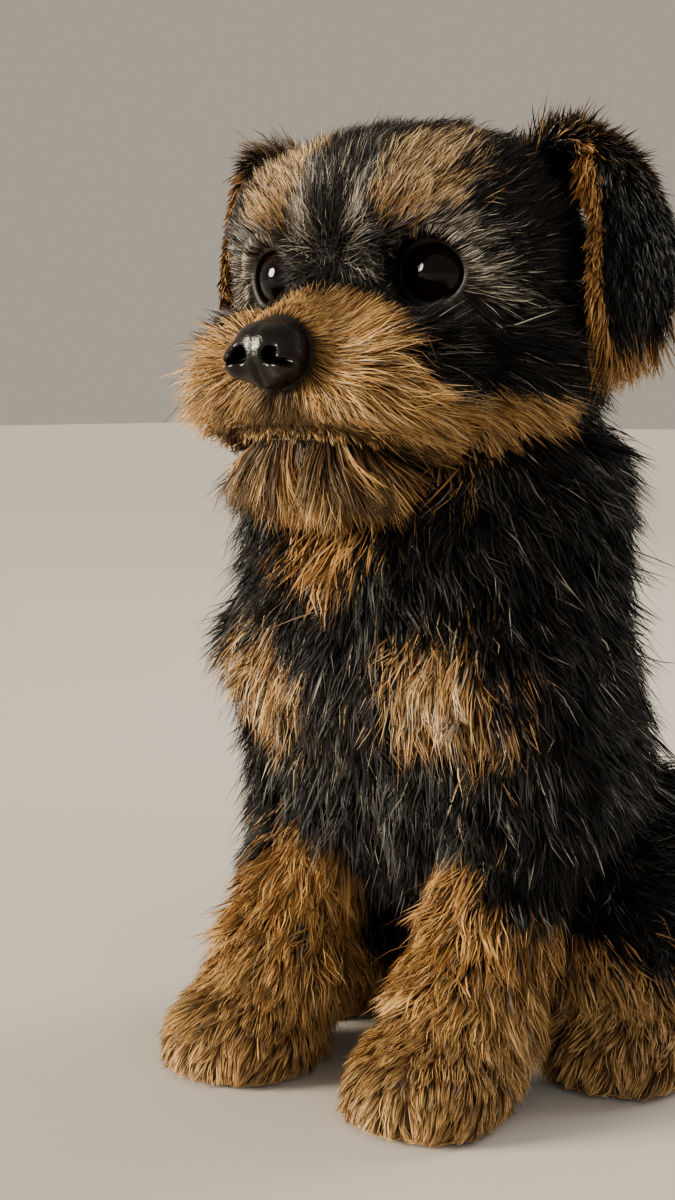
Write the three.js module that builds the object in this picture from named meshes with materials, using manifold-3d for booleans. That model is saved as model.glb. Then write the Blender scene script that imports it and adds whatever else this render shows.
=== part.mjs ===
// A yorkshire terrier puppy, about eight weeks old, sitting with its forelegs braced in front of it.
//
// Millimetres, +Z up. The puppy faces -Y and its left side is +X. The origin is the middle of its outline's box, at the floor.
//
// The body is one smooth shape, the blend of round bones and muscles listed below, each with the depth of the coat that lies over it.
// The solids give the outline of the coat, and are parted by thin cuts where a person would name the parts.
// Paws, rump, hocks and tail rest on small flats at one level, z = 0.

import * as THREE from "three";
import { mergeVertices } from "three/addons/utils/BufferGeometryUtils.js";
import Module from "manifold-3d";

const wasm = await Module();
wasm.setup();

// ---------------------------------------------------------------- sizes
const GAP = 0.36; // clearance at each cut between two parts
const HEAD_AT = [0, -50, 166.5]; // the point midway between the eyes
const HEAD_YAW = 6; // degrees, towards the puppy's left
const HEAD_PITCH = -2; // degrees, nose up
const HEAD_ROLL = 0;
const HEAD_BLEND = 3.2; // how softly the shapes of the head run together
const BODY_BLEND = 4.6;
const NECK_BLEND = 7.0;
const EYE_R = 7.3; // radius of the eyeball
const EYE_AT = [17.7, 5.4, 0.0]; // its centre, from the point midway between the eyes
const SOCKET_AT = [18.8, -3.4, 0.0]; // the hollow that the lids open to
const SOCKET_R = [7.0, 6.4, 6.4];
const NOSE_AT = [0, -28.0, -14.5]; // centre of the nose leather
const NOSE_R = [7.7, 6.4, 7.1];
const HEAD_CELL = 6.6; // facet sizes
const BODY_CELL = 10.4;
const PAW_CELL = 6.8;
const TAIL_CELL = 7.0;

// ---------------------------------------------------------------- the shapes
// ["round", name, from, radius, to, radius, coat] is a bone or muscle that tapers between two balls.
// ["oval", name, centre, radii, turn about x in degrees, coat] is an egg. A name that ends in _l has its mirror image on the right.
// Those of the head are measured from the point midway between its eyes, with the nose towards -Y.
const HEAD = [
  ["oval", "cranium", [0, 25, 2.5], [28, 29, 24.2], 0, 5.2],
  ["oval", "forehead", [0, 9, 10], [18, 12, 12], 0, 4.2],
  ["oval", "brow_l", [13.0, 4.0, 8.8], [8.5, 6.5, 5.0], 0, 4.0],
  ["oval", "parietal_l", [12.5, 20, 6.5], [14, 17, 16], 0, 5.2],
  ["oval", "temple_l", [22.5, 14.5, 4.5], [9, 14, 14], 0, 6.0],
  ["oval", "nape_side_l", [15, 36, -8], [16, 14, 19], 0, 7.0],
  ["oval", "cheek_l", [18.5, 17, -17], [14, 16, 13.5], 0, 9.0],
  ["oval", "under_eye_l", [13.5, 1.5, -12], [8, 8, 6.5], 0, 4.5],
  ["round", "bridge", [0, 4, -8.5], 8.5, [0, -20, -12.5], 5.6, 3.2],
  ["oval", "lip_l", [9.2, -9.5, -20.0], [9.4, 13.5, 8.8], 0, 10.8],
  ["oval", "front_lip", [0, -18.5, -20.5], [7.5, 6.5, 6.0], 0, 4.4],
  ["round", "jaw", [0, 12, -27], 10.5, [0, -12.5, -30], 5.6, 7.0],
  ["oval", "chin_l", [8.0, -6.5, -31.5], [8.5, 12.0, 6.5], 0, 8.5],
];
const BODY = [
  ["round", "nape", [0, -20, 150], 19.5, [0, -14, 122], 23.5, 8.5],
  ["round", "throat", [0, -32, 136], 14, [0, -31, 112], 18, 9.0],
  ["oval", "ruff_l", [19, -25, 124], [14, 17, 19], 0, 9.0],
  ["round", "ribs", [0, -19, 104], 26, [0, -10, 72], 28, 9.0],
  ["oval", "forechest", [0, -37, 97], [18, 12, 18], 0, 9.0],
  ["round", "loin", [0, -9, 71], 27, [0, 5, 44], 26, 8.0],
  ["oval", "rump", [0, 14, 34.0], [25, 23, 24.0], 0, 7.5],
  ["oval", "shoulder_l", [22, -22, 97], [12, 15, 20], 0, 8.5],
  ["round", "upper_arm_l", [24, -33, 89], 10.5, [26, -22, 64], 9.0, 8.0],
  ["round", "forearm_l", [26, -24, 61], 8.0, [25, -43, 21], 6.2, 7.6],
  ["round", "pastern_l", [25, -43, 21], 6.2, [25, -49, 10], 6.0, 5.4],
  ["oval", "forepaw_l", [25, -54, 6.8], [8.2, 9.5, 6.2], 0, 3.4],
  ["round", "thigh_l", [19, 18, 38], 16.5, [31, -2, 30], 13, 7.5],
  ["round", "shank_l", [33, -5, 26], 9.0, [32, 21, 13], 6.0, 6.5],
  ["round", "hock_l", [32, 23, 10.0], 5.8, [38, 1, 8.0], 5.6, 4.8],
  ["oval", "hindpaw_l", [41, -8, 6.8], [8.2, 9.5, 6.0], 0, 3.4],
  ["round", "tail_root", [0, 33, 26], 7.0, [3, 45, 16], 5.4, 6.0],
  ["round", "tail_mid", [3, 45, 16], 5.2, [12, 55, 9.5], 4.2, 6.0],
  ["round", "tail_tip", [12, 55, 9.5], 4.0, [25, 60, 7.5], 2.6, 6.0],
];
// four toes to a paw, in an arc at its front
const TOE_R = 3.7;
for (const [paw, x, y] of [["fore", 25, -54], ["hind", 41, -8]])
  for (let i = 0; i < 4; i++) {
    const side = i - 1.5;
    BODY.push([
      "oval", paw + "toe" + i + "_l",
      [x + side * 4.2, y - 6.8 + Math.abs(side) * 1.7, 5.0],
      [TOE_R, TOE_R * 1.4, TOE_R * 1.05], 0, 3.0,
    ]);
  }

// ---------------------------------------------------------------- fields
const rad = Math.PI / 180;
const headTurn = new THREE.Matrix4()
  .makeRotationZ(HEAD_YAW * rad)
  .multiply(new THREE.Matrix4().makeRotationX(-HEAD_PITCH * rad))
  .multiply(new THREE.Matrix4().makeRotationY(HEAD_ROLL * rad));
const headIn = new THREE.Matrix4().makeTranslation(...HEAD_AT).multiply(headTurn);
const headOut = headIn.clone().invert();

const mirrored = (rows) =>
  rows.flatMap((row) => {
    if (!row[1].endsWith("_l")) return [row];
    const flip = (v) => (Array.isArray(v) ? [-v[0], v[1], v[2]] : v);
    const other = row[0] === "round"
      ? [row[0], row[1].slice(0, -1) + "r", flip(row[2]), row[3], flip(row[4]), row[5], row[6]]
      : [row[0], row[1].slice(0, -1) + "r", flip(row[2]), row[3], row[4], row[5]];
    return [row, other];
  });

// Distance from a point to one shape, about right near its surface.
function shapeDistance(row, x, y, z) {
  if (row[0] === "round") {
    const [, , a, ra, b, rb] = row;
    const bx = b[0] - a[0], by = b[1] - a[1], bz = b[2] - a[2];
    const px = x - a[0], py = y - a[1], pz = z - a[2];
    const t = Math.min(1, Math.max(0, (px * bx + py * by + pz * bz) / (bx * bx + by * by + bz * bz)));
    return Math.hypot(px - t * bx, py - t * by, pz - t * bz) - (ra + (rb - ra) * t);
  }
  const [, , c, r] = row;
  const px = x - c[0], py = y - c[1], pz = z - c[2];
  const k0 = Math.hypot(px / r[0], py / r[1], pz / r[2]);
  const k1 = Math.hypot(px / r[0] ** 2, py / r[1] ** 2, pz / r[2] ** 2);
  return k1 < 1e-9 ? -Math.min(...r) : (k0 * (k0 - 1)) / k1;
}

// The soft union of a list of shapes, and the depth of coat there: [distance, coat].
function blend(rows, k, x, y, z) {
  const d = rows.map((row) => shapeDistance(row, x, y, z));
  const low = Math.min(...d);
  let sum = 0, coat = 0;
  rows.forEach((row, i) => {
    const w = Math.exp((low - d[i]) / k);
    sum += w;
    coat += w * row[row.length - 1];
  });
  return [low - k * Math.log(sum), coat / sum];
}

const headRows = mirrored(HEAD), bodyRows = mirrored(BODY);
const away = (x, y, z, c, r) => 1 - Math.exp(-((x - c[0]) ** 2 + (y - c[1]) ** 2 + (z - c[2]) ** 2) / (r * r));
const at = new THREE.Vector3();

// The outline of the coat: below 0 inside. lay is how much of the coat counts, so that 0 gives the skin.
function outline(x, y, z, lay = 1) {
  at.set(x, y, z).applyMatrix4(headOut);
  const [hx, hy, hz] = at.toArray();
  let [head, headCoat] = blend(headRows, HEAD_BLEND, hx, hy, hz);
  // the coat is shortest about the nose and the eyes, and lies in a hollow before each eye
  headCoat *= 1 - 0.93 * (1 - away(hx, hy, hz, [0, -28, -12.5], 11.5));
  for (const s of [-1, 1]) {
    headCoat *= 1 - 0.95 * (1 - away(hx, hy, hz, [s * 19, 0, 0.5], 9.5));
  }
  const [body, bodyCoat] = blend(bodyRows, BODY_BLEND, x, y, z);
  const h = Math.min(1, Math.max(0, 0.5 + (0.5 * (body - head)) / NECK_BLEND));
  const skin = body + (head - body) * h - NECK_BLEND * h * (1 - h);
  return skin - lay * (bodyCoat + (headCoat - bodyCoat) * h);
}

// ---------------------------------------------------------------- surface of a field
// One vertex in each cell of a grid that the surface crosses, moved onto it, and one face across each edge that it crosses.
function surfaceOf(field, lo, hi, cell) {
  const n = [0, 1, 2].map((i) => Math.ceil((hi[i] - lo[i]) / cell) + 1);
  const id = (i, j, k) => (k * n[1] + j) * n[0] + i;
  const value = new Float64Array(n[0] * n[1] * n[2]);
  for (let k = 0; k < n[2]; k++)
    for (let j = 0; j < n[1]; j++)
      for (let i = 0; i < n[0]; i++)
        // a surface that leaves the grid is closed at its sides
        value[id(i, j, k)] = [i, j, k].some((x, m) => x === 0 || x === n[m] - 1) ? 1
          : field(lo[0] + i * cell, lo[1] + j * cell, lo[2] + k * cell);
  const position = [], index = [], vertexOf = new Int32Array(value.length).fill(-1);
  const corners = [0, 1, 2, 3, 4, 5, 6, 7].map((c) => [c & 1, (c >> 1) & 1, c >> 2]);
  for (let k = 0; k + 1 < n[2]; k++)
    for (let j = 0; j + 1 < n[1]; j++)
      for (let i = 0; i + 1 < n[0]; i++) {
        const v = corners.map(([a, b, c]) => value[id(i + a, j + b, k + c)]);
        const inside = v.filter((x) => x < 0).length;
        if (inside === 0 || inside === 8) continue;
        const p = [0, 0, 0];
        let count = 0;
        for (let a = 0; a < 8; a++)
          for (let bit = 1; bit < 8; bit <<= 1) {
            const b = a | bit;
            if (b === a || v[a] < 0 === v[b] < 0) continue;
            const t = v[a] / (v[a] - v[b]);
            for (let m = 0; m < 3; m++) p[m] += corners[a][m] + (corners[b][m] - corners[a][m]) * t;
            count++;
          }
        const q = p.map((x, m) => lo[m] + cell * ([i, j, k][m] + x / count));
        for (let step = 0; step < 3; step++) {
          const e = 0.2, f = field(...q);
          const g = [0, 1, 2].map((m) => {
            const u = [...q];
            u[m] += e;
            return (field(...u) - f) / e;
          });
          const gg = Math.max(0.2, g[0] ** 2 + g[1] ** 2 + g[2] ** 2);
          for (let m = 0; m < 3; m++) {
            const floor = lo[m] + cell * [i, j, k][m];
            q[m] = Math.min(floor + cell * 0.98, Math.max(floor + cell * 0.02, q[m] - (f * g[m]) / gg));
          }
        }
        vertexOf[id(i, j, k)] = position.length / 3;
        position.push(...q);
      }
  for (let k = 0; k + 1 < n[2]; k++)
    for (let j = 0; j + 1 < n[1]; j++)
      for (let i = 0; i + 1 < n[0]; i++)
        for (let m = 0; m < 3; m++) {
          if ([i, j, k].some((x, axis) => x === 0 && axis !== m)) continue;
          const step = [0, 0, 0];
          step[m] = 1;
          const a = value[id(i, j, k)] < 0, b = value[id(i + step[0], j + step[1], k + step[2])] < 0;
          if (a === b) continue;
          const u = [0, 0, 0], w = [0, 0, 0];
          u[(m + 1) % 3] = 1;
          w[(m + 2) % 3] = 1;
          const c = [[0, 0], [1, 0], [1, 1], [0, 1]].map(([s, t]) =>
            vertexOf[id(i - s * u[0] - t * w[0], j - s * u[1] - t * w[1], k - s * u[2] - t * w[2])]);
          const face = a ? c : [...c].reverse();
          // the shorter diagonal gives the rounder surface
          const P = (v) => position.slice(v * 3, v * 3 + 3);
          const far = (v, w2) => Math.hypot(...P(v).map((x, q2) => x - P(w2)[q2]));
          if (far(face[0], face[2]) <= far(face[1], face[3]))
            index.push(face[0], face[1], face[2], face[0], face[2], face[3]);
          else index.push(face[1], face[2], face[3], face[1], face[3], face[0]);
        }
  const g = new THREE.BufferGeometry();
  g.setAttribute("position", new THREE.Float32BufferAttribute(position, 3));
  g.setIndex(index);
  return g;
}

// ---------------------------------------------------------------- solids
function solid(geometry, matrix) {
  const g = geometry.clone();
  g.deleteAttribute("normal");
  g.deleteAttribute("uv");
  if (matrix) g.applyMatrix4(matrix);
  const m = mergeVertices(g, 1e-4);
  return new wasm.Manifold(new wasm.Mesh({
    numProp: 3,
    vertProperties: new Float32Array(m.attributes.position.array),
    triVerts: new Uint32Array(m.index.array),
  }));
}
function geometryOf(s) {
  const m = s.getMesh(), v = new Float32Array(m.numVert * 3);
  for (let i = 0; i < m.numVert; i++)
    v.set(m.vertProperties.subarray(i * m.numProp, i * m.numProp + 3), i * 3);
  const g = new THREE.BufferGeometry();
  g.setAttribute("position", new THREE.BufferAttribute(v, 3));
  g.setIndex(new THREE.BufferAttribute(new Uint32Array(m.triVerts), 1));
  g.computeVertexNormals();
  return g;
}
const largest = (s) => s.decompose().sort((a, b) => b.volume() - a.volume())[0];
const turned = (x, y, z, ax = 0, ay = 0, az = 0) =>
  new THREE.Matrix4().makeTranslation(x, y, z)
    .multiply(new THREE.Matrix4().makeRotationFromEuler(new THREE.Euler(ax * rad, ay * rad, az * rad, "ZYX")));

// A block whose face through point has the outward normal, reaching far the other way from back.
function beyond(point, normal, size = 400, grow = 0) {
  const q = new THREE.Quaternion().setFromUnitVectors(new THREE.Vector3(0, 0, 1), new THREE.Vector3(...normal).normalize());
  const n = new THREE.Vector3(...normal).normalize();
  const c = new THREE.Vector3(...point).addScaledVector(n, size / 2 - grow);
  return solid(new THREE.BoxGeometry(size, size, size), new THREE.Matrix4().compose(c, q, new THREE.Vector3(1, 1, 1)));
}
function egg(centre, radii, grow = 0, ax = 0, ay = 0, az = 0, detail = 20) {
  const g = new THREE.SphereGeometry(1, detail, Math.round(detail * 0.6));
  g.scale(radii[0] + grow, radii[1] + grow, radii[2] + grow);
  return solid(g, turned(...centre, ax, ay, az));
}
function block(lo, hi, grow = 0) {
  const s = [0, 1, 2].map((i) => hi[i] - lo[i] + 2 * grow);
  return solid(new THREE.BoxGeometry(...s), turned(...[0, 1, 2].map((i) => (lo[i] + hi[i]) / 2)));
}

// An ear is a flap between a front and a rear edge, which hangs from its fold. It bulges outwards between them.
// The points run from the root, inside the head, over the fold, to the tip.
const EAR_FRONT = [[23, 24, 14], [31, 22, 24], [38.5, 20, 25], [43, 18, 13], [44.5, 15.5, -4], [45.5, 19, -21]];
const EAR_REAR = [[21, 42, 9], [29, 47, 18], [38, 48.5, 18.5], [46, 46.5, 10], [49, 43.5, -3], [48.5, 39, -15]];
function earSolid(side, grow) {
  const line = (points) => new THREE.CatmullRomCurve3(points.map((p) => new THREE.Vector3(side * p[0], p[1], p[2])), false, "centripetal");
  const front = line(EAR_FRONT), rear = line(EAR_REAR);
  const rows = 8, across = 4, outer = [], inner = [];
  const point = (u, v) => {
    const a = front.getPoint(u), b = rear.getPoint(u);
    const p = a.clone().lerp(b, v);
    p.x += side * 3.2 * Math.sin(Math.PI * u) * 4 * v * (1 - v);
    return p;
  };
  const position = [], index = [];
  for (let i = 0; i <= rows; i++)
    for (let j = 0; j <= across; j++) {
      const u = i / rows, v = j / across, e = 0.01;
      const du = point(Math.min(1, u + e), v).sub(point(Math.max(0, u - e), v));
      const dv = point(u, Math.min(1, v + e)).sub(point(u, Math.max(0, v - e)));
      const n = du.clone().cross(dv).normalize().multiplyScalar(side);
      const rim = Math.sqrt(Math.max(0, 4 * v * (1 - v)));
      const half = (0.8 + 1.7 * (1 - u) + 1.0 * rim) * (u > 0.99 ? 0.75 : 1) + grow;
      const out = dv.clone().normalize().multiplyScalar((v - 0.5) * 2 * grow);
      const down = du.clone().normalize().multiplyScalar((u - 0.5) * 2 * grow);
      const p = point(u, v).add(out).add(down);
      outer.push(p.clone().addScaledVector(n, half));
      inner.push(p.clone().addScaledVector(n, -half));
    }
  for (const p of [...outer, ...inner]) position.push(p.x, p.y, p.z);
  const N = outer.length, w = across + 1, V = (i, j, s) => s * N + i * w + j;
  const quad = (a, b, c, d) => index.push(a, b, c, a, c, d);
  for (let i = 0; i < rows; i++)
    for (let j = 0; j < across; j++) {
      quad(V(i, j, 0), V(i + 1, j, 0), V(i + 1, j + 1, 0), V(i, j + 1, 0));
      quad(V(i, j, 1), V(i, j + 1, 1), V(i + 1, j + 1, 1), V(i + 1, j, 1));
    }
  for (let i = 0; i < rows; i++) {
    quad(V(i, 0, 0), V(i, 0, 1), V(i + 1, 0, 1), V(i + 1, 0, 0));
    quad(V(i, across, 0), V(i + 1, across, 0), V(i + 1, across, 1), V(i, across, 1));
  }
  for (let j = 0; j < across; j++) {
    quad(V(0, j, 0), V(0, j + 1, 0), V(0, j + 1, 1), V(0, j, 1));
    quad(V(rows, j, 0), V(rows, j, 1), V(rows, j + 1, 1), V(rows, j + 1, 0));
  }
  if (side < 0) for (let i = 0; i < index.length; i += 3) [index[i + 1], index[i + 2]] = [index[i + 2], index[i + 1]];
  const g = new THREE.BufferGeometry();
  g.setAttribute("position", new THREE.Float32BufferAttribute(position, 3));
  g.setIndex(index);
  let s = solid(g, headIn);
  if (s.volume() < 0) {
    for (let i = 0; i < index.length; i += 3) [index[i + 1], index[i + 2]] = [index[i + 2], index[i + 1]];
    g.setIndex(index);
    s = solid(g, headIn);
  }
  return s;
}

const parts = {};
const inHead = (v) => new THREE.Vector3(...v).applyMatrix4(headIn).toArray();
const headEgg = (c, r, grow = 0, detail = 20) => {
  const g = new THREE.SphereGeometry(1, detail, Math.round(detail * 0.65));
  g.scale(r[0] + grow, r[1] + grow, r[2] + grow);
  return solid(g, headIn.clone().multiply(turned(...c)));
};

// The whole head and the whole body, each to its own facet size. They share one outline, and are cut at one plane.
const NECK_TOP = [[0, -18, 130], [0, -0.42, 0.91]];
const NECK_BASE = [[0, -14, 113], [0, -0.34, 0.94]];
const floor = beyond([0, 0, 0], [0, 0, 1]);
const headWhole = solid(surfaceOf(outline, [-56, -102, 96], [58, 26, 214], HEAD_CELL));
const bodyWhole = solid(surfaceOf(outline, [-66, -84, -12], [66, 112, 170], BODY_CELL));
const tailWhole = solid(surfaceOf(outline, [-26, 30, -10], [46, 92, 48], TAIL_CELL)).intersect(floor);
const pawWhole = solid(surfaceOf(outline, [-64, -82, -10], [64, 52, 34], PAW_CELL)).intersect(floor);

let head = headWhole.intersect(beyond(...NECK_TOP));
let rest = bodyWhole.intersect(floor).subtract(beyond(...NECK_TOP, 400, GAP));
parts.neck = largest(rest.intersect(beyond(...NECK_BASE)));
rest = rest.subtract(beyond(...NECK_BASE, 400, GAP));

// the face
for (const [side, name] of [[1, "left"], [-1, "right"]]) {
  const c = [side * EYE_AT[0], EYE_AT[1], EYE_AT[2]];
  parts["eye_" + name] = headEgg(c, [EYE_R, EYE_R, EYE_R], 0, 12);
  head = head.subtract(headEgg(c, [EYE_R, EYE_R, EYE_R], GAP, 12));
  head = head.subtract(headEgg([side * SOCKET_AT[0], SOCKET_AT[1], SOCKET_AT[2]], SOCKET_R, 0, 10));
  parts["ear_" + name] = earSolid(side, 0);
  head = head.subtract(earSolid(side, GAP));
}
let nose = headEgg(NOSE_AT, NOSE_R, 0, 12);
for (const side of [1, -1])
  nose = nose.subtract(headEgg([side * 4.2, NOSE_AT[1] - 6.0, NOSE_AT[2] - 1.2], [1.7, 2.6, 1.5], 0, 6));
parts.nose = nose;
head = head.subtract(headEgg(NOSE_AT, NOSE_R, GAP, 12));
const mouth = (grow) => solid(new THREE.BoxGeometry(90, 90, 40 + 2 * grow), headIn.clone().multiply(turned(0, -32.5, -46.5, -22)))
  .intersect(headEgg([0, -9, -33], [27, 30, 17], grow, 11));
parts.lower_jaw = largest(head.intersect(mouth(0)));
head = head.subtract(mouth(GAP));
parts.head = largest(head);

// the limbs, each cut out by a block or an egg round it
function take(name, region) {
  const piece = largest(rest.intersect(region(0)));
  rest = rest.subtract(region(GAP));
  parts[name] = piece;
}
const behind = (g) => beyond([1, 44.5, 24], [0.1, 0.92, -0.38], 400, g);
parts.tail = largest(tailWhole.intersect(behind(0)));
rest = rest.subtract(behind(GAP));
const PAW_TOP = 15, ELBOW_Z = 55;
for (const [side, name] of [[1, "left"], [-1, "right"]]) {
  const span = (a, b) => (side > 0 ? [a, b] : [-b, -a]);
  const box = (x, y, z) => (grow) => block([span(...x)[0], y[0], z[0]], [span(...x)[1], y[1], z[1]], grow);
  const cut = (x, y, z) => { const b = box(x, y, z)(GAP); rest = rest.subtract(b); return box(x, y, z)(0); };
  // paws come from the finer surface
  parts["forepaw_" + name] = largest(pawWhole.intersect(cut([2, 62], [-90, -33], [-20, PAW_TOP])));
  parts["hindpaw_" + name] = largest(pawWhole.intersect(cut([20, 70], [-32.5, 5], [-20, PAW_TOP])));
  take("foreleg_" + name, (g) => box([0.5, 62], [-90, 20], [PAW_TOP, ELBOW_Z])(g).intersect(beyond([0, -22, 30], [0, -0.87, 0.49], 400, g)));
  take("shoulder_" + name, (g) => egg([side * 38, -29, 82], [19, 26, 38], g, -12, 0, 0, 12));
  take("hindleg_" + name, (g) => egg([side * 40, 4, 9], [22, 43, 23], g, 2, 0, 0, 12));
  take("thigh_" + name, (g) => egg([side * 38, 10, 36], [22, 37, 29], g, 16, 0, side * 8, 12));
}
parts.trunk = largest(rest);


// ---------------------------------------------------------------- the model
const BLACK = new THREE.MeshStandardMaterial({ name: "black_coat", color: 0x161513, roughness: 0.85, metalness: 0 });
const TAN = new THREE.MeshStandardMaterial({ name: "tan_coat", color: 0xb98750, roughness: 0.85, metalness: 0 });
const EYE = new THREE.MeshStandardMaterial({ name: "eye", color: 0x0c0908, roughness: 0.08, metalness: 0 });
const NOSE = new THREE.MeshStandardMaterial({ name: "nose", color: 0x17130f, roughness: 0.4, metalness: 0 });
const finish = (name) =>
  name.startsWith("eye") ? EYE : name === "nose" ? NOSE
    : /jaw|paw|foreleg|hindleg/.test(name) ? TAN : BLACK;

const dog = new THREE.Group();
const box = new THREE.Box3();
for (const [name, s] of Object.entries(parts)) {
  const mesh = new THREE.Mesh(geometryOf(s), finish(name));
  mesh.name = name;
  box.expandByObject(mesh);
  dog.add(mesh);
}
// the origin goes to the middle of the box, at the floor
dog.position.set(-(box.min.x + box.max.x) / 2, -(box.min.y + box.max.y) / 2, -box.min.z);
const root = new THREE.Group();
root.add(dog);
export default root;
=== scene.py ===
# The looks of a young yorkshire terrier, sitting: one skin, eyes, nose, claws, whiskers, and a coat of mesh locks.
#
# Shapes below are in millimetres in the same axes as the frame (the dog faces -Y, its left is +X, +Z is up), and are
# moved by SHIFT and scaled to metres when a mesh is made. The tables of bones and muscles are those of the solids.
# The skin is their blend, and each has the depth of the coat over it, the way its hair lies, and its share of tan.
import math

import bpy
import numpy as np
from mathutils import Matrix, Vector, kdtree


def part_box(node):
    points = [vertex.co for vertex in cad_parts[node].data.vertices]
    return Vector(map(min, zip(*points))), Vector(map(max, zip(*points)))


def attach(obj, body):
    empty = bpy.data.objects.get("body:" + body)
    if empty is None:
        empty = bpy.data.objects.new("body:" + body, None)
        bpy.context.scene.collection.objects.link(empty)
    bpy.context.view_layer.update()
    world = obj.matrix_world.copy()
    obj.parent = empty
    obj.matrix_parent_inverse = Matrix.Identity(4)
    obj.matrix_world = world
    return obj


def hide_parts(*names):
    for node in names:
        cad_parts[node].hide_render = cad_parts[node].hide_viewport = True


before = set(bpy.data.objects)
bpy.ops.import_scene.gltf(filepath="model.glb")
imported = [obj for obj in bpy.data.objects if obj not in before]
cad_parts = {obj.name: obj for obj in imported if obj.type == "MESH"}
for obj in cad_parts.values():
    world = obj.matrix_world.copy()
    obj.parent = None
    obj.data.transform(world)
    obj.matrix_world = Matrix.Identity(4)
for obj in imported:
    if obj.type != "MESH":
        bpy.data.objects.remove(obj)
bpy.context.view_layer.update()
rng = np.random.default_rng(20240611)

# ---------------------------------------------------------------- the shapes
HEAD_AT = np.array([0.0, -50.0, 166.5])
HEAD_YAW, HEAD_PITCH, HEAD_ROLL = 6.0, -2.0, 0.0
HEAD_BLEND, BODY_BLEND, NECK_BLEND = 3.2, 4.6, 7.0
EYE_R = 7.3
EYE_AT = np.array([17.7, 5.4, 0.0])
NOSE_AT = np.array([0.0, -28.0, -14.5])
NOSE_R = np.array([7.7, 6.4, 7.1])

# kind, name, where, size, where, size, coat, how the hair lies, tan share
# "out" from a pole makes the hair run away from that point, "to" gives a fixed direction
NOSE_POLE = (0, -33, -12)
STOP_POLE = (0, -10, 4)
HEAD = [
    ("oval", "cranium", (0, 25, 2.5), (28, 29, 24.2), 5.2, ("out", (0, -16, 8)), 0),
    ("oval", "forehead", (0, 9, 10), (18, 12, 12), 4.2, ("out", STOP_POLE), 0),
    ("oval", "brow_l", (13.0, 4.0, 8.8), (8.5, 6.5, 5.0), 4.0, ("out", (9, -6, 2)), 0),
    ("oval", "parietal_l", (12.5, 20, 6.5), (14, 17, 16), 5.2, ("out", (2, -14, 6)), 0),
    ("oval", "temple_l", (22.5, 14.5, 4.5), (9, 14, 14), 6.0, ("out", (14, -10, 2)), 0),
    ("oval", "nape_side_l", (15, 36, -8), (16, 14, 19), 7.0, ("to", (0.2, 0.5, -0.8)), 0),
    ("oval", "cheek_l", (18.5, 17, -17), (14, 16, 13.5), 9.0, ("out", (6, -22, -4)), 0),
    ("oval", "under_eye_l", (13.5, 1.5, -12), (8, 8, 6.5), 4.5, ("out", (5, -22, -4)), 0),
    ("round", "bridge", (0, 4, -8.5), 8.5, (0, -20, -12.5), 5.6, 3.2, ("out", NOSE_POLE), 0),
    ("oval", "lip_l", (9.2, -9.5, -20.0), (9.4, 13.5, 8.8), 10.8, ("out", (2, -31, -10)), 1),
    ("oval", "front_lip", (0, -18.5, -20.5), (7.5, 6.5, 6.0), 4.4, ("out", (0, -32, -8)), 1),
    ("round", "jaw", (0, 12, -27), 10.5, (0, -12.5, -30), 5.6, 7.0, ("to", (0, 0.35, -0.9)), 1),
    ("oval", "chin_l", (8.0, -6.5, -31.5), (8.5, 12.0, 6.5), 8.5, ("out", (0, -32, -22)), 1),
]
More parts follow.
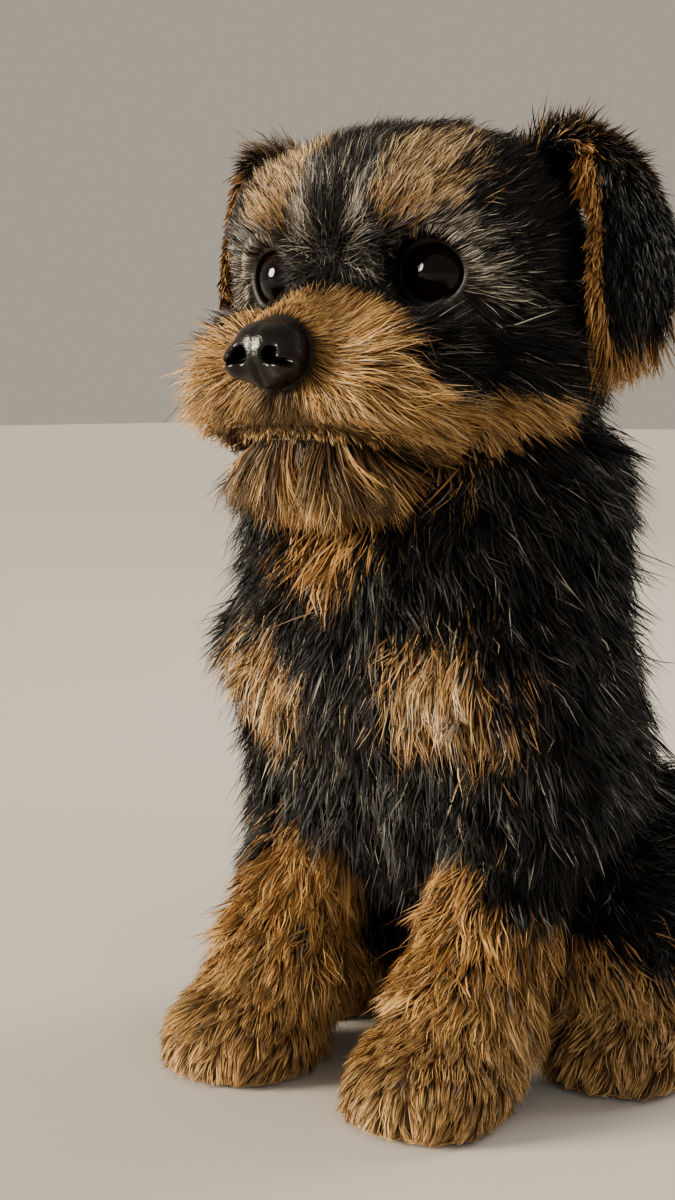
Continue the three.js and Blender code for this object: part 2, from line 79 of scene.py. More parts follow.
BODY = [
    ("round", "nape", (0, -20, 150), 19.5, (0, -14, 122), 23.5, 8.5, ("to", (0, 0.30, -0.95)), 0),
    ("round", "throat", (0, -32, 136), 14, (0, -31, 112), 18, 9.0, ("to", (0, -0.25, -0.95)), 0.4),
    ("oval", "ruff_l", (19, -25, 124), (14, 17, 19), 9.0, ("to", (0.25, 0.1, -0.95)), 0),
    ("round", "ribs", (0, -19, 104), 26, (0, -10, 72), 28, 9.0, ("to", (0, 0.30, -0.95)), 0),
    ("oval", "forechest", (0, -37, 97), (18, 12, 18), 9.0, ("to", (0, -0.1, -1)), 0.1),
    ("round", "loin", (0, -9, 71), 27, (0, 5, 44), 26, 8.0, ("to", (0, 0.5, -0.85)), 0),
    ("oval", "rump", (0, 14, 34.0), (25, 23, 24.0), 7.5, ("to", (0, 0.55, -0.8)), 0),
    ("oval", "shoulder_l", (22, -22, 97), (12, 15, 20), 8.5, ("to", (0.15, 0.2, -0.95)), 0),
    ("round", "upper_arm_l", (24, -33, 89), 10.5, (26, -22, 64), 9.0, 8.0, ("to", (0.1, 0.25, -0.95)), 0),
    ("round", "forearm_l", (26, -24, 61), 8.0, (25, -43, 21), 6.2, 7.6, ("to", (0.1, -0.25, -0.95)), 0.8),
    ("round", "pastern_l", (25, -43, 21), 6.2, (25, -49, 10), 6.0, 5.4, ("to", (0, -0.45, -0.9)), 1),
    ("oval", "forepaw_l", (25, -54, 6.8), (8.2, 9.5, 6.2), 3.4, ("out", (25, -36, 22)), 1),
    ("round", "thigh_l", (19, 18, 38), 16.5, (31, -2, 30), 13, 7.5, ("to", (0.15, 0.45, -0.85)), 0.05),
    ("round", "shank_l", (33, -5, 26), 9.0, (32, 21, 13), 6.0, 6.5, ("to", (0.1, 0.5, -0.8)), 0.5),
    ("round", "hock_l", (32, 23, 10.0), 5.8, (38, 1, 8.0), 5.6, 4.8, ("to", (0.1, -0.8, -0.5)), 1),
    ("oval", "hindpaw_l", (41, -8, 6.8), (8.2, 9.5, 6.0), 3.4, ("out", (38, 10, 22)), 1),
    ("round", "tail_root", (0, 33, 26), 7.0, (3, 45, 16), 5.4, 6.0, ("to", (0.25, 0.8, -0.5)), 0.15),
    ("round", "tail_mid", (3, 45, 16), 5.2, (12, 55, 9.5), 4.2, 6.0, ("to", (0.65, 0.7, -0.35)), 0.25),
    ("round", "tail_tip", (12, 55, 9.5), 4.0, (25, 60, 7.5), 2.6, 6.0, ("to", (0.92, 0.35, -0.1)), 0.25),
]
TOE_R = 3.7
TOES = []
for paw, px, py in (("fore", 25, -54), ("hind", 41, -8)):
    for i in range(4):
        s = i - 1.5
        c = (px + s * 4.2, py - 6.8 + abs(s) * 1.7, 5.0)
        BODY.append(("oval", paw + "toe%d_l" % i, c, (TOE_R, TOE_R * 1.4, TOE_R * 1.05), 3.0, ("out", (px, py + 16, 22)), 1))
        TOES.append(c)


def rotation():
    y, p, r = (math.radians(v) for v in (HEAD_YAW, -HEAD_PITCH, HEAD_ROLL))
    return np.array(Matrix.Rotation(y, 3, "Z") @ Matrix.Rotation(p, 3, "X") @ Matrix.Rotation(r, 3, "Y"))


HEAD_R = rotation()
to_head = lambda p: (p - HEAD_AT) @ HEAD_R
from_head = lambda p: np.asarray(p, float) @ HEAD_R.T + HEAD_AT


def flip(v):
    return (-v[0], v[1], v[2])


def both_sides(rows):
    out = []
    for row in rows:
        out.append(row)
        if row[1].endswith("_l") :
            lay = (row[-2][0], flip(row[-2][1]))
            if row[0] == "round":
                out.append(("round", row[1][:-1] + "r", flip(row[2]), row[3], flip(row[4]), row[5], row[6], lay, row[8]))
            else:
                out.append(("oval", row[1][:-1] + "r", flip(row[2]), row[3], row[4], lay, row[6]))
    return out


HEAD_ROWS, BODY_ROWS = both_sides(HEAD), both_sides(BODY)
unit = lambda v: v / np.maximum(np.linalg.norm(v, axis=-1, keepdims=True), 1e-9)


def distance(row, p, want_gradient):
    if row[0] == "round":
        a, ra, b, rb = np.array(row[2], float), row[3], np.array(row[4], float), row[5]
        ab = b - a
        q = p - a
        t = np.clip(q @ ab / (ab @ ab), 0, 1)
        q = q - t[:, None] * ab
        n = np.linalg.norm(q, axis=1)
        return n - (ra + (rb - ra) * t), (q / np.maximum(n, 1e-6)[:, None] if want_gradient else None)
    c, r = np.array(row[2], float), np.array(row[3], float)
    q = p - c
    k0 = np.linalg.norm(q / r, axis=1)
    g = q / r ** 2
    k1 = np.maximum(np.linalg.norm(g, axis=1), 1e-6)
    return k0 * (k0 - 1) / k1, (g / k1[:, None] if want_gradient else None)


COLUMN = {"coat": 4, "flow": 5, "tan": 6}


def blend(rows, k, p, full):
    d = np.empty((len(rows), len(p)))
    grads = []
    for i, row in enumerate(rows):
        d[i], g = distance(row, p, full)
        grads.append(g)
    low = d.min(0)
    w = np.exp((low - d) / k)
    total = w.sum(0)
    w /= total
    coat = np.array([row[-3] for row in rows]) @ w
    if not full:
        return low - k * np.log(total), coat, None, None, None
    grad = np.zeros_like(p)
    flow = np.zeros_like(p)
    for i, row in enumerate(rows):
        grad += w[i][:, None] * grads[i]
        kind, v = row[-2]
        v = np.array(v, float)
        f = unit(p - v) if kind == "out" else np.broadcast_to(v / np.linalg.norm(v), p.shape)
        flow += w[i][:, None] * f
    tan = np.array([row[-1] for row in rows], float) @ w
    return low - k * np.log(total), coat, grad, flow, tan


def hair_height(h, coat):
    """The coat is shortest about the nose and the eyes."""
    coat = coat * (1 - 0.93 * np.exp(-((h - [0, -28, -12.5]) ** 2).sum(1) / 11.5 ** 2))
    for s in (-1, 1):
        coat = coat * (1 - 0.95 * np.exp(-((h - [s * 19, 0, 0.5]) ** 2).sum(1) / 9.5 ** 2))
    return coat


def field(p, full=False):
    """Skin distance at points (millimetres, unshifted), with coat depth, gradient, lie of the hair and tan share if full."""
    parts = []
    for start in range(0, len(p), 60000):
        q = p[start:start + 60000]
        h = to_head(q)
        dh, ch, gh, fh, th = blend(HEAD_ROWS, HEAD_BLEND, h, full)
        db, cb, gb, fb, tb = blend(BODY_ROWS, BODY_BLEND, q, full)
        m = np.clip(0.5 + 0.5 * (db - dh) / NECK_BLEND, 0, 1)
        d = db + (dh - db) * m - NECK_BLEND * m * (1 - m)
        coat = cb + (hair_height(h, ch) - cb) * m
        if full:
            mm = m[:, None]
            g = gb + (gh @ HEAD_R.T - gb) * mm
            f = fb + (fh @ HEAD_R.T - fb) * mm
            parts.append((d, coat, unit(g), f, tb + (th - tb) * m, m))
        else:
            parts.append((d, coat))
    return tuple(np.concatenate(c) for c in zip(*parts))


def smooth_min(a, b, k):
    h = np.clip(0.5 + 0.5 * (b - a) / k, 0, 1)
    return b + (a - b) * h - k * h * (1 - h)


def smooth_max(a, b, k):
    return -smooth_min(-a, -b, k)


GAZE = unit(np.array([0.20, -1.0, 0.02]))  # of the left eye
LID_R = EYE_R + 0.7
OPENING = (6.9, 6.2, 5.6)  # half width to the inner and outer corner, and half height, between the lids


def mouth_line(h):
    """Height above the line of the mouth, which falls towards its corners."""
    return h[:, 2] + 28.0 + 0.40 * (h[:, 1] + 25.0)


def skin_detail(p):
    """The skin with its lids, the seat of the nose and the line of the mouth."""
    d = field(p)[0]
    h = to_head(p)
    near = (np.abs(h[:, 0]) < 34) & (h[:, 1] < 22) & (h[:, 1] > -45) & (h[:, 2] > -48) & (h[:, 2] < 22)
    if not near.any():
        return d
    q, e = h[near], d[near]
    # mouth: a groove along the line, fading at its corners
    line = mouth_line(q)
    reach = np.clip((4 - q[:, 1]) / 6, 0, 1)
    e = e + 1.5 * reach * np.exp(-(line / 1.3) ** 2)
    # the skin comes forward round the nose
    seat = (q - [0, -21.8, -14.4]) / [8.3, 6.6, 7.5]
    k0 = np.linalg.norm(seat, axis=1)
    e = smooth_min(e, k0 * (k0 - 1) / np.maximum(np.linalg.norm(seat / [8.3, 6.6, 7.5], axis=1), 1e-6), 2.0)
    # philtrum, from the nose to the lip
    e = e + 0.9 * np.exp(-(q[:, 0] / 0.9) ** 2) * np.clip((-17 - q[:, 1]) / 4, 0, 1) * np.clip((-17 - q[:, 2]) / 3, 0, 1) * np.clip(line / 2 + 1, 0, 1)
    for s in (-1, 1):
        c = np.array([s * EYE_AT[0], EYE_AT[1], EYE_AT[2]])
        g = np.array([s * GAZE[0], GAZE[1], GAZE[2]])
        v = q - c
        r = np.linalg.norm(v, axis=1)
        ahead = v @ g
        across = np.cross([0, 0, 1], g)
        across /= np.linalg.norm(across)
        u, w = v @ across * s * -1, v[:, 2]
        # lids wrap the ball; a faint crease runs above and below
        # the inner corner, at u > 0, is the sharper one
        a = np.sqrt(np.where(u > 0, (np.abs(u) / OPENING[0]) ** 1.6, (u / OPENING[1]) ** 2) + (w / OPENING[2]) ** 2)
        lids = r - LID_R
        e = smooth_min(e, lids, 2.6)
        # the face falls to the lids, so that the ball lies open
        bowl = r - (LID_R + 0.15 + 5.5 * np.maximum(0, a - 1) + 18 * np.maximum(0, a - 1.5))
        e = smooth_max(e, np.where(ahead > -1, bowl, -20.0), 0.8)
        rim = (1 - a) * 5.2
        rim = np.where(ahead > 0, rim, -20.0)
        e = smooth_max(e, rim, 0.5)
        e = smooth_max(e, EYE_R + 0.02 - r, 0.12)
        crease = np.exp(-((a - 1.42) / 0.10) ** 2) * np.where(ahead > 0, 1, 0)
        e = e + 0.35 * crease
    d = d.copy()
    d[near] = e
    return d


# ---------------------------------------------------------------- surface of a field
def surface(function, low, high, cell, steps=3):
    """Vertices and quads of the level 0 of a field, one vertex to each crossed cell."""
    n = [int(math.ceil((high[i] - low[i]) / cell)) + 1 for i in range(3)]
    axes = [low[i] + cell * np.arange(n[i]) for i in range(3)]
    value = np.empty(n)
    for k in range(n[2]):
        gx, gy = np.meshgrid(axes[0], axes[1], indexing="ij")
        pts = np.stack([gx.ravel(), gy.ravel(), np.full(gx.size, axes[2][k])], 1)
        value[:, :, k] = function(pts).reshape(n[0], n[1])
    inside = value < 0
    corner = [inside[a:n[0] - 1 + a, b:n[1] - 1 + b, c:n[2] - 1 + c] for a in (0, 1) for b in (0, 1) for c in (0, 1)]
    count = sum(x.astype(int) for x in corner)
    active = (count > 0) & (count < 8)
    ids = np.full(active.shape, -1)
    cells = np.argwhere(active)
    ids[active] = np.arange(len(cells))
    total, crossings = np.zeros((len(cells), 3)), np.zeros(len(cells))
    for axis in range(3):
        for b in (0, 1):
            for c in (0, 1):
                off0 = [0, 0, 0]
                others = [x for x in range(3) if x != axis]
                off0[others[0]], off0[others[1]] = b, c
                off1 = list(off0)
                off1[axis] = 1
                v0 = value[tuple((cells + off0).T)]
                v1 = value[tuple((cells + off1).T)]
                cross = (v0 < 0) != (v1 < 0)
                t = np.where(cross, v0 / np.where(cross, v0 - v1, 1), 0)
                pos = np.tile(np.array(off0, float), (len(cells), 1))
                pos[:, axis] = t
                total += np.where(cross[:, None], pos, 0)
                crossings += cross
    v = np.array(low) + cell * (cells + total / crossings[:, None])
    for _ in range(steps):
        v = to_surface(function, v, cell * 0.35)
    faces = []
    for axis in range(3):
        u, w = (axis + 1) % 3, (axis + 2) % 3
        shape = [slice(None)] * 3
        a_slice, b_slice = list(shape), list(shape)
        a_slice[axis], b_slice[axis] = slice(0, n[axis] - 1), slice(1, n[axis])
        a, b = inside[tuple(a_slice)], inside[tuple(b_slice)]
        edge = np.argwhere(a != b)
        edge = edge[(edge[:, u] > 0) & (edge[:, w] > 0) & (edge[:, u] < n[u] - 1) & (edge[:, w] < n[w] - 1)]
        first = a[tuple(edge.T)]
        q = []
        for s, t in ((0, 0), (1, 0), (1, 1), (0, 1)):
            c = edge.copy()
            c[:, u] -= s
            c[:, w] -= t
            q.append(ids[tuple(c.T)])
        q = np.stack(q, 1)
        q[~first] = q[~first][:, ::-1]
        faces.append(q)
    return v, np.concatenate(faces)


def to_surface(function, v, most):
    e = 0.08
    f = function(v)
    g = np.stack([(function(v + e * np.eye(3)[i]) - f) / e for i in range(3)], 1)
    gg = np.maximum(0.15, (g ** 2).sum(1))
    step = f[:, None] * g / gg[:, None]
    size = np.linalg.norm(step, axis=1, keepdims=True)
    return v - step * np.minimum(1, most / np.maximum(size, 1e-9))


# ---------------------------------------------------------------- where it all goes
eye_low, eye_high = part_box("eye_left")
SHIFT = np.array((eye_low + eye_high) / 2) * 1000 - from_head(EYE_AT)


def metres(p):
    return ((np.asarray(p) + SHIFT) / 1000).astype(np.float32)


def mesh_object(name, v, faces, smooth=True):
    """A mesh from arrays; faces have 3 or 4 corners, all alike."""
    mesh = bpy.data.meshes.new(name)
    n, k = faces.shape
    mesh.vertices.add(len(v))
    mesh.vertices.foreach_set("co", metres(v).ravel())
    mesh.loops.add(n * k)
    mesh.loops.foreach_set("vertex_index", faces.astype(np.int32).ravel())
    mesh.polygons.add(n)
    mesh.polygons.foreach_set("loop_start", np.arange(0, n * k, k, dtype=np.int32))
    mesh.polygons.foreach_set("loop_total", np.full(n, k, np.int32))
    mesh.update(calc_edges=True)
    mesh.polygons.foreach_set("use_smooth", np.full(n, smooth))
    o = bpy.data.objects.new(name, mesh)
    bpy.context.scene.collection.objects.link(o)
    return o


def colour(o, rgb, name="Col"):
    a = o.data.color_attributes.new(name, "FLOAT_COLOR", "POINT")
    a.data.foreach_set("color", np.concatenate([rgb, np.ones((len(rgb), 1))], 1).astype(np.float32).ravel())


# ---------------------------------------------------------------- camera
CAM_AZ, CAM_EL, CAM_FAR, FOCAL = 40.0, 6.0, 400.0, 2000.0  # degrees, mm to the eyes' line, focal length in pixels
WIDTH, HEIGHT = 675, 1200
EYES_PIXEL = (352.0, 276.0)
az, el = math.radians(CAM_AZ), math.radians(CAM_EL)
back = np.array([math.sin(az) * math.cos(el), -math.cos(az) * math.cos(el), math.sin(el)])
right = np.array([math.cos(az), math.sin(az), 0.0])
above = np.cross(back, right)
camera_at = HEAD_AT - right * (EYES_PIXEL[0] - WIDTH / 2) * CAM_FAR / FOCAL - above * (HEIGHT / 2 - EYES_PIXEL[1]) * CAM_FAR / FOCAL + back * CAM_FAR
cam = bpy.data.cameras.new("camera")
cam.sensor_width = 36.0
cam.lens = 36.0 * FOCAL / HEIGHT
cam.clip_start = 0.01
camera = bpy.data.objects.new("camera", cam)
camera.location = [float(x) for x in metres(camera_at)]
camera.rotation_mode = "QUATERNION"
camera.rotation_quaternion = (-Vector([float(x) for x in back])).to_track_quat("-Z", "Y")
bpy.context.scene.collection.objects.link(camera)
bpy.context.scene.camera = camera

# ---------------------------------------------------------------- materials
def material(name):
    m = bpy.data.materials.new(name)
    m.use_nodes = True
    t = m.node_tree
    shader = t.nodes["Principled BSDF"]
    return m, t.nodes, t.links, shader


def coat_material(name, roughness, sheen):
    m, nodes, links, shader = material(name)
    col = nodes.new("ShaderNodeAttribute")
    col.attribute_name = "Col"
    noise = nodes.new("ShaderNodeTexNoise")
    noise.inputs["Scale"].default_value = 900
    noise.inputs["Detail"].default_value = 1
    place = nodes.new("ShaderNodeTexCoord")
    links.new(place.outputs["Object"], noise.inputs["Vector"])
    lift = nodes.new("ShaderNodeMapRange")
    lift.inputs["To Min"].default_value = 0.72
    lift.inputs["To Max"].default_value = 1.28
    links.new(noise.outputs["Fac"], lift.inputs["Value"])
    scale = nodes.new("ShaderNodeVectorMath")
    scale.operation = "SCALE"
    links.new(col.outputs["Color"], scale.inputs[0])
    links.new(lift.outputs["Result"], scale.inputs["Scale"])
    links.new(scale.outputs["Vector"], shader.inputs["Base Color"])
    shader.inputs["Roughness"].default_value = roughness
    shader.inputs["Specular IOR Level"].default_value = 0.32
    shader.inputs["Sheen Weight"].default_value = sheen
    shader.inputs["Sheen Roughness"].default_value = 0.4
    return m


def skin_material():
    m, nodes, links, shader = material("skin")
    col = nodes.new("ShaderNodeAttribute")
    col.attribute_name = "Col"
    place = nodes.new("ShaderNodeTexCoord")
    noise = nodes.new("ShaderNodeTexNoise")
    noise.inputs["Scale"].default_value = 260
    noise.inputs["Detail"].default_value = 5
    links.new(place.outputs["Object"], noise.inputs["Vector"])
    lift = nodes.new("ShaderNodeMapRange")
    lift.inputs["To Min"].default_value = 0.6
    lift.inputs["To Max"].default_value = 1.3
    links.new(noise.outputs["Fac"], lift.inputs["Value"])
    scale = nodes.new("ShaderNodeVectorMath")
    scale.operation = "SCALE"
    links.new(col.outputs["Color"], scale.inputs[0])
    links.new(lift.outputs["Result"], scale.inputs["Scale"])
    links.new(scale.outputs["Vector"], shader.inputs["Base Color"])
    bump = nodes.new("ShaderNodeBump")
    bump.inputs["Strength"].default_value = 0.35
    bump.inputs["Distance"].default_value = 0.0004
    links.new(noise.outputs["Fac"], bump.inputs["Height"])
    links.new(bump.outputs["Normal"], shader.inputs["Normal"])
    shader.inputs["Roughness"].default_value = 0.55
    return m


def nose_material():
    m, nodes, links, shader = material("nose_leather")
    place = nodes.new("ShaderNodeTexCoord")
    cells = nodes.new("ShaderNodeTexVoronoi")
    cells.feature = "DISTANCE_TO_EDGE"
    cells.inputs["Scale"].default_value = 1500
    links.new(place.outputs["Object"], cells.inputs["Vector"])
    dip = nodes.new("ShaderNodeMapRange")
    dip.inputs["From Max"].default_value = 0.18
    links.new(cells.outputs["Distance"], dip.inputs["Value"])
    noise = nodes.new("ShaderNodeTexNoise")
    noise.inputs["Scale"].default_value = 350
    links.new(place.outputs["Object"], noise.inputs["Vector"])
    ramp = nodes.new("ShaderNodeValToRGB")
    ramp.color_ramp.elements[0].color = (0.0035, 0.003, 0.003, 1)
    ramp.color_ramp.elements[1].color = (0.011, 0.009, 0.0085, 1)
    links.new(noise.outputs["Fac"], ramp.inputs["Fac"])
    links.new(ramp.outputs["Color"], shader.inputs["Base Color"])
    rough = nodes.new("ShaderNodeMapRange")
    rough.inputs["To Min"].default_value = 0.20
    rough.inputs["To Max"].default_value = 0.34
    links.new(noise.outputs["Fac"], rough.inputs["Value"])
    links.new(rough.outputs["Result"], shader.inputs["Roughness"])
    bump = nodes.new("ShaderNodeBump")
    bump.inputs["Strength"].default_value = 0.22
    bump.inputs["Distance"].default_value = 0.0001
    links.new(dip.outputs["Result"], bump.inputs["Height"])
    links.new(bump.outputs["Normal"], shader.inputs["Normal"])
    shader.inputs["Specular IOR Level"].default_value = 0.5
    return m


def eye_material():
    """Near-black brown: pupil, iris with faint rays, and a dark edge, from the eye's own colour attribute."""
    m, nodes, links, shader = material("eye")
    col = nodes.new("ShaderNodeAttribute")
    col.attribute_name = "Col"
    links.new(col.outputs["Color"], shader.inputs["Base Color"])
    shader.inputs["Roughness"].default_value = 0.07
    shader.inputs["IOR"].default_value = 1.38
    shader.inputs["Specular IOR Level"].default_value = 0.5
    return m


def claw_material():
    m, nodes, links, shader = material("claw")
    place = nodes.new("ShaderNodeTexCoord")
    noise = nodes.new("ShaderNodeTexNoise")
    noise.inputs["Scale"].default_value = 600
    links.new(place.outputs["Object"], noise.inputs["Vector"])
    ramp = nodes.new("ShaderNodeValToRGB")
    ramp.color_ramp.elements[0].color = (0.010, 0.008, 0.007, 1)
    ramp.color_ramp.elements[1].color = (0.05, 0.035, 0.025, 1)
    links.new(noise.outputs["Fac"], ramp.inputs["Fac"])
    links.new(ramp.outputs["Color"], shader.inputs["Base Color"])
    shader.inputs["Roughness"].default_value = 0.3
    return m


SKIN, NOSE, EYE, CLAW = skin_material(), nose_material(), eye_material(), claw_material()
COAT = coat_material("coat", 0.5, 0.0)
WHISKER = coat_material("whisker", 0.35, 0.0)

# ---------------------------------------------------------------- markings
step = lambda a, b, x: (lambda t: t * t * (3 - 2 * t))(np.clip((x - a) / (b - a), 0, 1))
BLACK = np.array([0.0085, 0.0080, 0.0080])
SABLE = np.array([0.045, 0.022, 0.010])
BROWN = np.array([0.15, 0.078, 0.032])
TAN = np.array([0.41, 0.220, 0.082])
GOLD = np.array([0.64, 0.41, 0.18])
STRAW = np.array([0.62, 0.46, 0.25])
CREAM = np.array([0.74, 0.60, 0.40])
SILVER = np.array([0.48, 0.44, 0.37])


class Waves:
    """Smooth noise: a few plane waves."""

    def __init__(self, length, count=7):
        k = rng.normal(size=(count, 3))
        self.k = k / np.linalg.norm(k, axis=1, keepdims=True) * (2 * math.pi / length) * rng.uniform(0.6, 1.5, (count, 1))
        self.phase = rng.uniform(0, 2 * math.pi, count)

    def __call__(self, p):
        return np.sin(p @ self.k.T + self.phase).mean(1) * 1.6


patchy, patchy2, streaky = Waves(9), Waves(5), Waves(3.0)


def markings(p, tan_share, m):
    """Shares of tan, cream, silver, and sable with painted shade, at points of the body: (tan, cream, silver, sable and
    painted shade along the mouth, gold).
    """
    h = to_head(p)
    X, Y, Z = np.abs(h[:, 0]), h[:, 1], h[:, 2]
    ball = lambda c, r: np.exp(-(((X - c[0]) / r[0]) ** 2 + ((Y - c[1]) / r[1]) ** 2 + ((Z - c[2]) / r[2]) ** 2))
    edge = 1.5 * patchy(p)
    along = 0.83 * X + 0.56 * Y
    # muzzle: tan ahead of a line that falls from the bridge to the corner of the mouth; cheek: tan below the dark patch
    reach = np.interp(Z, [-26, -24, -17, -12, -8, -4, -1, 2], [20, 16, 12, 9, 6, 1, -8, -16])
    muzzle = step(-2.0, 2.0, reach - along + 1.3 * edge)
    cheek = step(-21.0, -25.0, Z + edge) * step(45, 40, along + edge)
    low = step(-51, -45, Z - np.maximum(0, along - 16) * 0.42 + 1.5 * edge)
    tan = np.maximum(muzzle, cheek) * low
    brow = ball((17.0, 0.0, 15.5), (9.5, 14, 7.0)) * 1.35 + ball((14.5, 7.0, 24.0), (8.0, 14, 5.5)) * 0.9
    brow = brow * step(5.0, 8.5, X) + 0.12 * patchy(p * 1.0 + 5)
    brow = np.where(Z < 4, 0, brow)
    silver = ball((27.5, 7, 3.0), (5.5, 12, 6.0)) * 0.82 + ball((6.6, -4, 12), (2.4, 14, 11)) * 0.85 + ball((22, 0, 9.0), (7, 10, 3.0)) * 0.68
    silver = silver + ball((0, 8, 20), (5, 18, 12)) * 0.30 + ball((31, 10, -4), (5, 10, 4)) * 0.5
    line = mouth_line(h)
    # dark along the line of the mouth: partly the dark fur of the lips, partly painted shade in the crease of the
    # mouth; the dark below and beside the nose is fur
    sable_and_shade = np.exp(-((line - 0.4) / 1.9) ** 2) * step(4, -6, Y) * 0.75 + ball((0, -33, -24), (8, 9, 5.5)) * 0.92
    sable_and_shade = sable_and_shade + np.exp(-((line + 10.5) / 2.8) ** 2) * step(1, 4, X) * step(20, 15, X) * step(8, -2, Y) * (0.85 + 0.8 * patchy(p + 40))
    sable_and_shade = sable_and_shade + ball((10, -28, -12), (3.5, 5, 6)) * 0.4 + (0.16 + 0.22 * step(-30, -36, Z)) * step(-20, -26, Z) * patchy2(p + 11) + 0.26 * step(-31, -37, Z) * step(-46, -42, Z)
    bridge_dark = ball((0, -6, -1), (6, 9, 6)) * 0.9
    tan = tan * (1 - bridge_dark)
    head_tan, head_gold, head_silver, head_sable_and_shade = tan, np.clip(brow, 0, 1), np.clip(silver, 0, 1), np.clip(sable_and_shade, 0, 1)
    # body
    x, y, z = np.abs(p[:, 0]), p[:, 1], p[:, 2]
    chest = np.exp(-(((x - 23 - 2 * patchy(p + 3)) / 12) ** 2 + ((z - 83 - 4 * patchy(p)) / 13) ** 2)) * step(-26, -42, y)
    wide = np.interp(z, [95, 106, 118, 130], [8, 11, 17, 24])
    throat = np.exp(-((x - 2.5 * patchy(p)) / wide) ** 2) * step(92, 112, z + 5 * patchy2(p)) * step(-22, -38, y)
    inner = step(20, 6, x) * step(60, 40, z) * step(-10, 0, y) * 0.4
    vent = np.exp(-((x / 8) ** 2 + ((z - 20) / 9) ** 2)) * step(24, 34, y)
    leg = step(54, 42, z + 0.25 * (y + 35) + 0.7 * np.maximum(0, x - 25) + 2.5 * patchy(p)) * step(0, -16, y)
    body_tan = np.clip(np.maximum.reduce([tan_share * step(66, 44, z), chest * 1.15, throat * 0.85, leg * np.minimum(1, tan_share * 2.2), inner, vent * 0.8]), 0, 1)
    black_streak = np.exp(-((z - 45) / 9) ** 2) * step(24, 34, x) * step(-10, -20, y)
    body_tan = body_tan * (1 - 0.8 * black_streak)
    cream = chest * 0.8
    return (
        body_tan + (head_tan - body_tan) * m,
        cream * (1 - m),
        head_silver * m,
        head_sable_and_shade * m,
        head_gold * m,
    )


def skin_colour(p, tan_share, m):
    tan, cream, silver, sable_and_shade, gold = markings(p, tan_share, m)
    c = BLACK * 0.9 + (BROWN * 0.9 - BLACK * 0.9) * np.clip(tan + 0.6 * gold, 0, 1)[:, None]
    # darker skin for sable fur, and painted shade along the line of the mouth
    c = c + (SABLE - c) * (0.7 * sable_and_shade)[:, None]
    c = c + (SILVER * 0.25 - c) * (0.4 * silver)[:, None]
    return c


